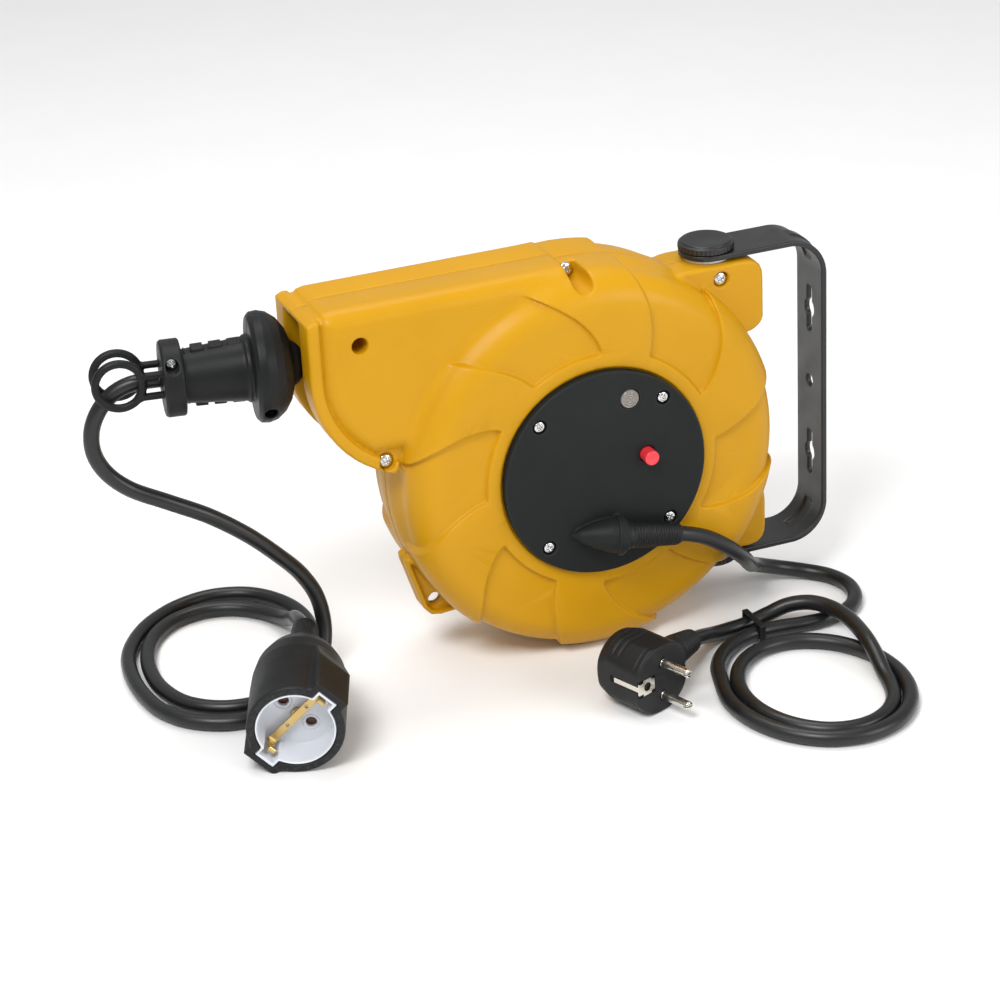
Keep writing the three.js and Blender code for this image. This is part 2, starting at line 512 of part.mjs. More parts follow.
// ---------- mains plug ----------
const plug = new THREE.Group();
plug.position.copy(PLUG.face);
plug.rotation.z = PLUG.turn;
reel.add(plug);
let plugBody = turned([[0, 0], [19, 0], [PLUG.radius, 1], [PLUG.radius, 24], [18, 31], [12, 35], [0, 36]], 36);
plugBody = plugBody.intersect(block(-18.2, 18.2, -1, 40, -19, 19));
for (const z of [-9.5, 9.5]) plugBody = cut(plugBody, rod('y', 2.7, -1, 12, 0, z, 14));
plugBody = cut(plugBody, block(-20, -16.3, -1, 19, -1.8, 1.8), block(16.3, 20, -1, 19, -1.8, 1.8));
plugBody = cut(plugBody, block(-20, -5.6, -1, 1.4, -5, 5));
add('plug_body', plugBody, RUBBER, plug);
[['upper', 9.5], ['lower', -9.5]].forEach(([name, z]) => {
  const pin = join(rod('y', 2.4, -17.5, 11.6, 0, z, 16), rod('y', 1.6, -19, -17.4, 0, z, 16));
  add(`plug_pin_${name}`, pin, ZINC, plug);
});
const earthPlate = cut(join(block(-17.7, -6.2, 0.1, 1, -3.2, 3.2), block(-14.6, -8.6, 0.1, 1, -4.6, 4.6)),
  rod('y', 2.5, -2, 3, -11.6, 0, 16));
add('plug_earth_contact', join(earthPlate, block(-17.7, -16.8, 0.1, 18.4, -1.4, 1.4)), BRASS, plug);
add('plug_earth_strap', block(16.8, 17.7, 0.4, 18.4, -1.4, 1.4), BRASS, plug);
const bootDir = plugBootEnd.clone().sub(plugBootStart);
const bootLength = bootDir.length() - 0.4;
bootDir.normalize();
const besidePlug = block(-22, 18.5, -1, 40, -22, 22).rotate([0, 0, THREE.MathUtils.radToDeg(PLUG.turn)])
  .translate(PLUG.face.toArray());
const bootSolid = cut(turnedAlong([[0, -5], [8.6, -5], [8.6, 9.6], [8.2, 16], [6.4, bootLength],
  [0, bootLength]], 20, plugBootStart, bootDir), besidePlug);
add('plug_boot', cut(bootSolid, along(new THREE.CylinderGeometry(CORD_R + GAP, CORD_R + GAP, 16, 12),
  plugBootEnd, bootDir)), RUBBER);

// ---------- socket coupler ----------
const coupler = new THREE.Group();
coupler.position.copy(COUPLER.face);
coupler.rotation.set(COUPLER.tilt, 0, COUPLER.turn, 'ZYX');
reel.add(coupler);
const DIAGONAL = 45;             // the earth strap runs from lower left to upper right
const turnAbout = (s, deg) => s.rotate([0, -deg, 0]);
let socketBody = turned([[0, 0], [24.6, 0], [25.4, 1.5], [25.4, 32], [25, 44], [23.6, 54], [20, 63.5], [15, 69],
  [9, 72], [0, 72]], 32);
for (const side of [-1, 1]) {
  const lug = block(Math.min(side * 10, side * 29), Math.max(side * 10, side * 29), 0.4, 46, -10.5, 10.5);
  socketBody = join(socketBody, turnAbout(lug, DIAGONAL));
}
socketBody = cut(socketBody, rod('y', 21.1, -1, 31.5, 0, 0, 40), rod('y', 5.4, 30, 75, 0, 0, 16));
for (const side of [-1, 1]) {
  const notch = block(Math.min(side * 15, side * 25.4), Math.max(side * 15, side * 25.4), -1, 24, -6.4, 6.4);
  socketBody = cut(socketBody, turnAbout(notch, DIAGONAL));
}
socketBody = cut(socketBody, rod('y', 27.2, -2, 0.2, 0, 0, 40));
add('socket_body', socketBody, RUBBER, coupler);
let insert = turned([[0, 0.4], [20.7, 0.4], [20.7, 31], [0, 31]], 40);
for (const side of [-1, 1]) {
  const key = block(Math.min(side * 15, side * 25), Math.max(side * 15, side * 25), 0.5, 23.6, -6, 6);
  insert = join(insert, turnAbout(key, DIAGONAL));
}
insert = cut(insert, rod('y', 19.6, -1, 18, 0, 0, 40), rod('y', 16.5, 21, 33, 0, 0, 32));
for (const side of [-1, 1]) {
  const recess = block(Math.min(side * 12, side * 23.6), Math.max(side * 12, side * 23.6), -1, 18, -4.6, 4.6);
  insert = cut(insert, turnAbout(recess, DIAGONAL));
  insert = cut(insert, turnAbout(rod('y', 2.9, 10, 25, side * 9.5, 0, 16), DIAGONAL - 90));
}
insert = cut(insert, rod('y', 1.7, 10, 25, 0, 0, 12));
add('socket_insert', insert, WHITE, coupler);
const strapBase = join(block(-20.6, 20.6, 13.8, 15, -2.2, 2.2), block(-20.6, -19.4, 4, 15, -2.2, 2.2),
  block(19.4, 20.6, 4, 15, -2.2, 2.2), rod('y', 1.4, 14.5, 29, 0, 0, 12), rod('y', 3, 15, 17.6, 0, 0, 16));
add('socket_earth_strap', turnAbout(strapBase, DIAGONAL), BRASS, coupler);
let shutter = cut(block(-14.5, 14.5, 21.4, 22.6, -3.4, 3.4), rod('y', 1.8, 20, 25, 0, 0, 12));
shutter = turnAbout(shutter, DIAGONAL - 90);
add('socket_shutter', shutter, [0x6b3d33, 0.5], coupler);
[['left', -1], ['right', 1]].forEach(([name, side]) => {
  const contact = cut(rod('y', 3.4, 23.2, 30.6, side * 9.5, 0, 16), rod('y', 2.4, 22, 29, side * 9.5, 0, 16));
  add(`socket_contact_${name}`, turnAbout(contact, DIAGONAL - 90), BRASS, coupler);
});
add('socket_boot', turned([[CORD_R + GAP, 72.4], [9, 72.4], [8.4, 80], [6.6, 101.8], [CORD_R + GAP, 102.2]], 20),
  RUBBER, coupler);

// ---------- wall bracket and its pivots ----------
function stripOutline() {
  const s = new THREE.Shape();
  const bend = 22;
  const inner = bend - STRIP.thick;
  const { wallX, topZ, bottomZ, thick } = STRIP;
  const corner = wallX - bend;
  s.moveTo(PIVOT_X, topZ);
  s.lineTo(corner, topZ);
  s.absarc(corner, topZ - bend, bend, Math.PI / 2, 0, true);
  s.lineTo(wallX, bottomZ + bend);
  s.absarc(corner, bottomZ + bend, bend, 0, -Math.PI / 2, true);
  s.lineTo(PIVOT_X, bottomZ);
  s.lineTo(PIVOT_X, bottomZ + thick);
  s.lineTo(corner, bottomZ + thick);
  s.absarc(corner, bottomZ + bend, inner, -Math.PI / 2, 0, false);
  s.lineTo(wallX - thick, topZ - bend);
  s.absarc(corner, topZ - bend, inner, 0, Math.PI / 2, false);
  s.lineTo(PIVOT_X, topZ - thick);
  return s;
}
const HOLE_Z = 7.5;
const KEYHOLE_STEP = 43.2;
let bracket = plate(stripOutline(), -STRIP.half, STRIP.half, 0, 5);
bracket = join(bracket, rod('z', STRIP.half, STRIP.topZ - STRIP.thick, STRIP.topZ, PIVOT_X, 0, 28),
  rod('z', STRIP.half, STRIP.bottomZ, STRIP.bottomZ + STRIP.thick, PIVOT_X, 0, 28));
bracket = cut(bracket, rod('z', 4.4, -120, 120, PIVOT_X, 0, 20), rod('x', 3.5, 130, 160, 0, HOLE_Z, 20));
for (const side of [-1, 1]) {
  const z = HOLE_Z + side * KEYHOLE_STEP;
  bracket = cut(bracket, rod('x', 5, 130, 160, 0, z, 20), block(130, 160, -2.6, 2.6, z - 11, z + 11),
    rod('x', 2.6, 130, 160, 0, z - 11, 14), rod('x', 2.6, 130, 160, 0, z + 11, 14));
}
add('wall_bracket', bracket, STEEL_BLACK);
for (const side of [-1, 1]) {
  const label = side > 0 ? 'top' : 'bottom';
  const outer = side > 0 ? STRIP.topZ : STRIP.bottomZ;
  const lug = side > 0 ? LUG_TOP_Z : LUG_BOTTOM_Z;
  const span = (a, b) => [outer + side * a, outer + side * b].sort((p, q) => p - q);
  const zRod = (r, a, b, sides = 24) => rod('z', r, ...span(a, b), PIVOT_X, 0, sides);
  add(`pivot_cap_${label}`, cut(join(zRod(15, GAP, 4), zRod(13.6, 3.9, 5.2)), zRod(8, 0, 3.4)), BLACK);
  add(`pivot_bolt_${label}`, join(zRod(7, GAP, 3, 16), zRod(4, -9.6, 1, 16), zRod(6, -9.6, -7.4, 16)), ZINC);
  const washer = [lug + side * GAP, lug + side * 1.7].sort((p, q) => p - q);
  add(`pivot_washer_${label}`, cut(rod('z', 13, ...washer, PIVOT_X, 0, 24),
    rod('z', 4.4, -120, 120, PIVOT_X, 0, 16)), WHITE);
}

export default object;
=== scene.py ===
"""Spring-driven extension cord reel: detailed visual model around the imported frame."""
import bpy
import math
import numpy as np
from mathutils import Matrix, Vector


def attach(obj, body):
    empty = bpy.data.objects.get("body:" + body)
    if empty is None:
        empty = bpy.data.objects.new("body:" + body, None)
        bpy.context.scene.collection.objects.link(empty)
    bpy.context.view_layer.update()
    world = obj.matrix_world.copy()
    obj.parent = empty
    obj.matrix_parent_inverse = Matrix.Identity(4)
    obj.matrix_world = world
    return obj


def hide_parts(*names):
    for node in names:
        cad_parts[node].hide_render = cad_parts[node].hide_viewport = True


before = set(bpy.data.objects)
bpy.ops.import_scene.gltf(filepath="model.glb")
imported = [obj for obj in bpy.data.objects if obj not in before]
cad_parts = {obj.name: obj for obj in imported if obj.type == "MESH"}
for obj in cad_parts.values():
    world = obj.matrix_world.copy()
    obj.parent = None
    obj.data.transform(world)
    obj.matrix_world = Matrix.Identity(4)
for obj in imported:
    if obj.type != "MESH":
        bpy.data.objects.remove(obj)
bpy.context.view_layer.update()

MM = 0.001
AXIS = (-146.0, 0.0, -23.5)      # drum axis in the part's frame, mm


def place(x, y, z):
    """Reel coordinates in mm to the frame's metres."""
    return Vector(((x + AXIS[0]) * MM, (y + AXIS[1]) * MM, (z + AXIS[2]) * MM))


# ---------------------------------------------------------------- camera and cords first
TARGET_AZ, TARGET_EL, TARGET_ROLL = (math.radians(v) for v in (-20.8, 25.6, -3.0))
CAMERA_AT = (-562.7, -1364.9, 675.0)          # reel frame, mm
LENS_MM = 108.0

cam_data = bpy.data.cameras.new("camera")
cam = bpy.data.objects.new("camera", cam_data)
bpy.context.scene.collection.objects.link(cam)
back = Vector((math.sin(TARGET_AZ) * math.cos(TARGET_EL), -math.cos(TARGET_AZ) * math.cos(TARGET_EL),
               math.sin(TARGET_EL)))
right = Vector((math.cos(TARGET_AZ), math.sin(TARGET_AZ), 0.0))
up = back.cross(right)
right2 = right * math.cos(TARGET_ROLL) + up * math.sin(TARGET_ROLL)
up2 = up * math.cos(TARGET_ROLL) - right * math.sin(TARGET_ROLL)
turn = Matrix((right2, up2, back)).transposed().to_4x4()
cam.matrix_world = Matrix.Translation(place(*CAMERA_AT)) @ turn
cam_data.lens = LENS_MM
cam_data.sensor_width = 36.0
cam_data.clip_end = 20.0
bpy.context.scene.camera = cam

CORD_R = 4.25
BENCH_Z = -108.5
CORD_Z = BENCH_Z + CORD_R + 0.05
BALL = np.array((-168.0, 0.0, 79.5))
YAW = math.radians(10)
PULL = np.array((-math.cos(YAW), math.sin(YAW), 0.0))
GLAND_END = np.array((4.5, -52.0, -34.0))
GLAND_DIR = np.array((1.0, -0.02, -0.19))
GLAND_DIR /= np.linalg.norm(GLAND_DIR)
SLEEVE_START = GLAND_END + 0.4 * GLAND_DIR
COUPLER_FACE = np.array((-195.0, -88.0, -83.0))
COUPLER_TURN, COUPLER_TILT = math.radians(-21.6), math.radians(2.6)
COUPLER_AXIS = np.array((-math.sin(COUPLER_TURN) * math.cos(COUPLER_TILT),
                         math.cos(COUPLER_TURN) * math.cos(COUPLER_TILT), math.sin(COUPLER_TILT)))
BOOT_END = COUPLER_FACE + 102.4 * COUPLER_AXIS
PLUG_FACE = np.array((-1.5, -113.0, -89.3))
PLUG_TURN = math.radians(22)
PLUG_BOOT_START = np.array((8.5, -90.5, -90.0))
PLUG_BOOT_END = np.array((33.5, -73.0, -94.5))

Z = CORD_Z
outlet_route = [tuple(BALL + 55.4 * PULL)] + [
    (-228.5, 10.7, 79.5), (-237, 12.2, 78.7), (-245.8, 14, 74.7), (-253.6, 15.5, 66.5), (-258.3, 16.8, 55.5),
    (-258.5, 17.5, 43), (-253.5, 17.5, 31), (-242.5, 16.5, 19.5), (-223, 13.5, 8.5), (-203, 11.5, -3),
    (-184, 10, -17.5), (-168.5, 10.5, -33), (-155.3, 13, -49), (-147, 14, -65.5), (-145.5, 10.5, -81.5),
    (-149.5, 4, -94), (-158, -5.5, -102), (-169.5, -16, Z), (-183, -24.5, Z), (-197.5, -29.3, Z),
    (-213.5, -28, Z), (-231, -17, Z), (-242, 1, Z), (-246, 22, Z), (-246, 43.5, Z), (-242, 65, Z),
    (-232.5, 84, Z), (-218.5, 100, Z), (-200, 111.3, Z), (-179.5, 115, Z), (-159.5, 108, Z), (-146.2, 92, Z),
    (-140, 71.5, Z), (-141, 50, Z), (-147, 29.5, Z), (-157, 10.5, Z), (-171, -6, Z), (-190, -15, Z),
    (-210.5, -12.5, Z), (-226.7, 0.5, Z), (-234.5, 20.5, Z), (-235.5, 42, Z), (-231.5, 63, Z),
    (-222.2, 82, Z), (-207, 95.5, Z), (-187.5, 99.5, Z), (-171.5, 94.5, Z), (-161, 85.5, Z),
    (-154, 73, -103), (-151.5, 59.5, -99), (-151.8, 46.5, -92.5), (-154.5, 33.5, -85.5), (-156.5, 19, -80.6),
    tuple(BOOT_END)]
mains_route = [tuple(SLEEVE_START + t * GLAND_DIR) for t in (-10, 16, 34)] + [
    (54, -51, -47), (67, -48.4, -56.5), (80.5, -41.3, -69.5), (92, -27, -83), (102.5, -12.6, -92.3)]
for i, height in enumerate((-99.5, -103.4, Z, Z, Z, Z, Z)):     # the turn back beside the bracket
    a = math.radians(90 - 30 * i)
    mains_route.append((117.5 + 30 * math.cos(a), -38 + 30 * math.sin(a), height))
mains_route += [(104, -67.5, Z), (91, -65.5, Z), (77.5, -65, Z), (63.5, -69, Z), (51, -77.5, Z),
                (41.5, -89.5, Z)]
for i in range(24):                           # the coil on the bench, each turn beside the last
    a = math.radians(150 + 24 * i)
    inset = 9 * 24 * i / 360
    mains_route.append((79.5 + (50 - inset) * math.cos(a), -133 + (58.5 - 0.95 * inset) * math.sin(a), Z))
mains_route += [(115.6, -137, -102.5), (117, -126, -98.3), (118.4, -114, -95.3), (120, -100, -94.8),
                (120.4, -86, -94.8), (117.5, -72.5, -94.8), (110.5, -61.8, -95.2), (100.5, -55.3, -97.5),
                (89.5, -53, -101.5), (77.5, -53.2, Z), (65, -55, Z), (53, -59.5, -102), (43, -66, -98),
                tuple(PLUG_BOOT_END)]


def centripetal(points, per_span=8):
    """Points of a centripetal Catmull-Rom curve through the given points."""
    p = [np.array(q, float) for q in points]
    p = [2 * p[0] - p[1]] + p + [2 * p[-1] - p[-2]]
    out = []
    for i in range(1, len(p) - 2):
        p0, p1, p2, p3 = p[i - 1:i + 3]
        t0 = 0.0
        t1 = t0 + np.linalg.norm(p1 - p0) ** 0.5
        t2 = t1 + np.linalg.norm(p2 - p1) ** 0.5
        t3 = t2 + np.linalg.norm(p3 - p2) ** 0.5
        for k in range(per_span):
            t = t1 + (t2 - t1) * k / per_span
            a1 = (t1 - t) / (t1 - t0) * p0 + (t - t0) / (t1 - t0) * p1
            a2 = (t2 - t) / (t2 - t1) * p1 + (t - t1) / (t2 - t1) * p2
            a3 = (t3 - t) / (t3 - t2) * p2 + (t - t2) / (t3 - t2) * p3
            b1 = (t2 - t) / (t2 - t0) * a1 + (t - t0) / (t2 - t0) * a2
            b2 = (t3 - t) / (t3 - t1) * a2 + (t - t1) / (t3 - t1) * a3
            out.append((t2 - t) / (t2 - t1) * b1 + (t - t1) / (t2 - t1) * b2)
    out.append(p[-2])
    return out


def cord_curve(name, route):
    data = bpy.data.curves.new(name, "CURVE")
    data.dimensions = "3D"
    pts = centripetal(route)
    spline = data.splines.new("POLY")
    spline.points.add(len(pts) - 1)
    for point, co in zip(spline.points, pts):
        point.co = (*place(*co), 1.0)
    data.bevel_depth = CORD_R * MM
    data.bevel_resolution = 7
    data.use_fill_caps = True
    spline.use_smooth = True
    obj = bpy.data.objects.new(name, data)
    bpy.context.scene.collection.objects.link(obj)
    return obj, pts


def length_of(pts):
    return float(sum(np.linalg.norm(b - a) for a, b in zip(pts, pts[1:]))) * MM


outlet_cord, outlet_pts = cord_curve("outlet_lead", outlet_route)
mains_cord, mains_pts = cord_curve("mains_lead", mains_route)

# ---------------------------------------------------------------- distance-field modelling, in mm
F = np.float32


def smin(a, b, k):
    h = np.maximum(k - np.abs(a - b), 0) / k
    return np.minimum(a, b) - h * h * (k * 0.25)


def smax(a, b, k):
    return -smin(-a, -b, k)


def poly(u, v, pts):
    """Signed distance to a closed polygon in the (u, v) plane."""
    best = np.full(u.shape, 1e9, F)
    odd = np.zeros(u.shape, bool)
    for i, (ax, ay) in enumerate(pts):
        bx, by = pts[i - 1]
        ex, ey = bx - ax, by - ay
        wx, wy = u - F(ax), v - F(ay)
        t = np.clip((wx * F(ex) + wy * F(ey)) / F(ex * ex + ey * ey + 1e-12), 0, 1)
        dx, dy = wx - t * F(ex), wy - t * F(ey)
        best = np.minimum(best, dx * dx + dy * dy)
        low, high, side = v >= F(ay), v < F(by), (F(ex) * wy > F(ey) * wx)
        odd ^= (low & high & side) | ~(low | high | side)
    return np.where(odd, -1, 1).astype(F) * np.sqrt(best)


def slab(flat, across, half, edge):
    """A flat outline's distance pushed to both sides of a plane, with rounded edges."""
    qa, qb = flat + edge, np.abs(across) - half + edge
    return np.hypot(np.maximum(qa, 0), np.maximum(qb, 0)) + np.minimum(np.maximum(qa, qb), 0) - edge


def rod_y(x, y, z, cx, cz, radius, y0, y1, edge=0.3):
    return slab(np.hypot(x - cx, z - cz) - radius, y - (y0 + y1) / 2, (y1 - y0) / 2, edge)


def rbox(x, y, z, lo, hi, edge=0.5):
    q = [np.abs(v - (a + b) / 2) - (b - a) / 2 + edge for v, a, b in zip((x, y, z), lo, hi)]
    out = np.sqrt(sum(np.maximum(v, 0) ** 2 for v in q))
    return out + np.minimum(np.maximum(np.maximum(q[0], q[1]), q[2]), 0) - edge


def ease(t):
    t = np.clip(t, 0, 1)
    return t * t * (3 - 2 * t)


def fillet(pts, radius, steps=5):
    """Round a polygon's corners."""
    out = []
    n = len(pts)
    for i in range(n):
        p = np.array(pts[i], float)
        a, b = np.array(pts[i - 1], float) - p, np.array(pts[(i + 1) % n], float) - p
        la, lb = np.linalg.norm(a), np.linalg.norm(b)
        cosine = np.clip(a @ b / (la * lb), -1, 1)
        half = math.acos(cosine) / 2
        cut = min(radius / math.tan(half) if half < 1.55 else 0, 0.45 * la, 0.45 * lb)
        if cut < 0.02:
            out.append(tuple(p))
            continue
        s, e = p + a / la * cut, p + b / lb * cut
        for k in range(steps + 1):
            t = k / steps
            out.append(tuple((1 - t) ** 2 * s + 2 * t * (1 - t) * p + t * t * e))
    return out


def evaluate(field, pts, chunk=250000):
    out = np.empty(len(pts), F)
    for i in range(0, len(pts), chunk):
        q = pts[i:i + chunk]
        out[i:i + chunk] = field(q[:, 0], q[:, 1], q[:, 2])
    return out


BLOCK = 8
CORNERS = [(i, j, k) for i in (0, 1) for j in (0, 1) for k in (0, 1)]


def net(field, lo, hi, h):
    """Surface of a distance field as vertices and quads, refined onto the true surface."""
    lo = np.array(lo, F)
    blocks = np.ceil((np.array(hi, F) - lo) / (h * BLOCK)).astype(int) + 1
    grid = np.stack(np.meshgrid(*[np.arange(n) for n in blocks], indexing="ij"), -1).reshape(-1, 3)
    centres = (lo + h * (grid * BLOCK + (BLOCK - 1) / 2)).astype(F)
    coarse = evaluate(field, centres)
    near = np.abs(coarse) < h * BLOCK * 0.87 * 1.35 + h
    dist = np.repeat(np.repeat(np.repeat(coarse.reshape(blocks), BLOCK, 0), BLOCK, 1), BLOCK, 2)
    local = np.stack(np.meshgrid(*[np.arange(BLOCK)] * 3, indexing="ij"), -1).reshape(-1, 3)
    cells = (grid[near][:, None, :] * BLOCK + local[None]).reshape(-1, 3)
    values = evaluate(field, (lo + h * cells).astype(F))
    dist[cells[:, 0], cells[:, 1], cells[:, 2]] = values
    inside = dist < 0
    count = np.zeros(tuple(n - 1 for n in dist.shape), np.int8)
    for i, j, k in CORNERS:
        count += inside[i:dist.shape[0] - 1 + i, j:dist.shape[1] - 1 + j, k:dist.shape[2] - 1 + k]
    cell = np.argwhere((count > 0) & (count < 8))
    v8 = np.stack([dist[cell[:, 0] + i, cell[:, 1] + j, cell[:, 2] + k] for i, j, k in CORNERS], 1)
    total, hits = np.zeros((len(cell), 3), F), np.zeros(len(cell), F)
    for a in range(8):
        for b in range(a + 1, 8):
            ca, cb = np.array(CORNERS[a]), np.array(CORNERS[b])
            if np.abs(ca - cb).sum() != 1:
                continue
            cross = (v8[:, a] < 0) != (v8[:, b] < 0)
            t = np.where(cross, v8[:, a] / np.where(cross, v8[:, a] - v8[:, b], 1), 0)
            total += cross[:, None] * (ca + t[:, None] * (cb - ca))
            hits += cross
    verts = (lo + h * (cell + total / hits[:, None])).astype(F)
    eps = F(0.12 * h)
    tetra = np.array([(1, 1, 1), (1, -1, -1), (-1, 1, -1), (-1, -1, 1)], F)
    for _ in range(2):
        samples = [evaluate(field, verts + eps * t) for t in tetra]
        grad = sum(s[:, None] * t for s, t in zip(samples, tetra)) / (4 * eps)
        size = np.maximum((grad ** 2).sum(1), 0.25)
        move = -(sum(samples) / 4 / size)[:, None] * grad
        verts = verts + np.clip(move, -0.5 * h, 0.5 * h)
    index = np.full(count.shape, -1, np.int32)
    index[cell[:, 0], cell[:, 1], cell[:, 2]] = np.arange(len(cell))
    quads = []
    for axis in range(3):
        first = [slice(1, -1)] * 3
        second = [slice(1, -1)] * 3
        first[axis], second[axis] = slice(0, -1), slice(1, None)
        a, b = inside[tuple(first)], inside[tuple(second)]
        e = np.argwhere(a != b)
        flip = b[e[:, 0], e[:, 1], e[:, 2]]
        e = e + [0 if ax == axis else 1 for ax in range(3)]
        u, w = [(1, 2), (2, 0), (0, 1)][axis]
        ring = []
        for du, dw in ((-1, -1), (0, -1), (0, 0), (-1, 0)):
            q = e.copy()
            q[:, u] += du
            q[:, w] += dw
            ring.append(index[q[:, 0], q[:, 1], q[:, 2]])
        ring = np.stack(ring, 1)
        ring[flip] = ring[flip][:, ::-1]
        quads.append(ring)
    quads = np.concatenate(quads)
    return verts, quads[(quads >= 0).all(1)]


def link(obj):
    bpy.context.scene.collection.objects.link(obj)
    return obj


def mesh_object(name, verts, faces, transform=None, keep=None):
    """verts in mm in the reel frame (or in a local frame, given a 4x4 transform to it)."""
    co = np.asarray(verts, np.float64)
    if transform is not None:
        m = np.array(transform)
        co = co @ m[:3, :3].T + m[:3, 3]
    co = (co + np.array(AXIS)) * MM
    mesh = bpy.data.meshes.new(name)
    mesh.vertices.add(len(co))
    mesh.vertices.foreach_set("co", co.astype(F).ravel())
    n = len(faces)
    mesh.loops.add(4 * n)
    mesh.polygons.add(n)
    mesh.loops.foreach_set("vertex_index", np.ascontiguousarray(faces, np.int32).ravel())
    mesh.polygons.foreach_set("loop_start", np.arange(0, 4 * n, 4, dtype=np.int32))
    mesh.polygons.foreach_set("loop_total", np.full(n, 4, np.int32))
    mesh.update(calc_edges=True)
    mesh.validate()
    obj = link(bpy.data.objects.new(name, mesh))
    if keep and keep < 1:
        mod = obj.modifiers.new("fewer", "DECIMATE")
        mod.ratio = keep
        baked = bpy.data.meshes.new_from_object(obj.evaluated_get(bpy.context.evaluated_depsgraph_get()))
        obj.modifiers.clear()
        obj.data = baked
        baked.name = name
    obj.data.shade_smooth()
    return obj


def carved(name, field, lo, hi, h, body, nodes, transform=None, keep=None):
    verts, quads = net(field, lo, hi, h * (1.0))
    obj = mesh_object(name, verts, quads, transform, keep)
    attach(obj, body)
    if nodes:
        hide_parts(*nodes)
    return obj


def arc(cx, cz, radius, start, end, steps):
    turns = [math.radians(start + (end - start) * k / steps) for k in range(steps + 1)]
    return [(cx + radius * math.cos(a), cz + radius * math.sin(a)) for a in turns]


# ---------------------------------------------------------------- housing
MOUTH = (-91.0, 75.0)
SNOUT_FLAT = [(-10, 111), (-139, 111), (-143, 110), (-146, 107), (-147, 103)] \
    + arc(*MOUTH, 56, 180, 236.1, 10) + [(-60, 28.5), (0, 40)]
NECK = [(-10, 108), (-148.5, 108)] + arc(*MOUTH, 57.5, 180, 252, 9) + [(-104, 12), (-104, 32), (-60, 40)]
LIP = fillet([(-149, 108.3), (-153, 106.5)] + arc(*MOUTH, 62, 180, 252, 12) + arc(*MOUTH, 55, 252, 180, 12)
             + [(-146, 108)], 0.4, 2)
SLOT = [(-157, 104)] + arc(*MOUTH, 66, 180, 234, 8) + arc(*MOUTH, 44, 234, 180, 8) + [(-135, 104)]
LUG_TOP = fillet([(50, 92.6), (107, 92.6), (107, 56), (100, 51), (60, 51)], 11, 5)
LUG_LOW = fillet([(60, -77.4), (107, -77.4), (107, -40), (60, -40)], 11, 5)
HOOK = fillet([(-104, -42), (-93.6, -76), (-89.5, -80.6), (-84, -81.6), (-70, -80.5), (-66, -60)], 3, 3)
SHELL_SCREWS = [("top", -4.5, 104.5, -8), ("upper_lug", 82, 84.5, -13.5), ("lower_lug", 82, -69.3, -13.5),
                ("snout_low", -115, 23.5, -21), ("snout_deep", -126, 92, -8)]
DISC_SCREWS = [(50 * math.cos(math.radians(a)), 50 * math.sin(math.radians(a))) for a in (47, 137, 227, 317)]
LENS_AT, BUTTON_AT = (14.8, 39.8), (24.0, 6.0)
PANEL_DEPTH = 2.7


def round_body(r, ys, inset):
    qa, qb = r - (89.5 - inset), ys - (21 - inset)
    corner = 19.0
    return np.hypot(np.maximum(qa, 0), np.maximum(qb, 0)) + np.minimum(np.maximum(qa, qb), 0) - corner


def panels(x, z, r, ys, margin=0.8):
    """How far the swirl panels lie below the lands."""
    start, width = math.radians(28.5), math.radians(35.5)
    lean = np.clip((r - 66) / 36, 0, 1.25) ** 1.3
    phi = np.mod(np.arctan2(z, x) - start, math.pi / 3)
    lead = r * (phi - 0.30 * lean)
    tail = r * (width + 0.19 * lean - phi)
    near = smin(smin(lead, tail, 2.0), r - 66, 2.0)
    fade = ease((ys - 4) / 18)
    return PANEL_DEPTH * ease((near + margin) / 1.6) * fade


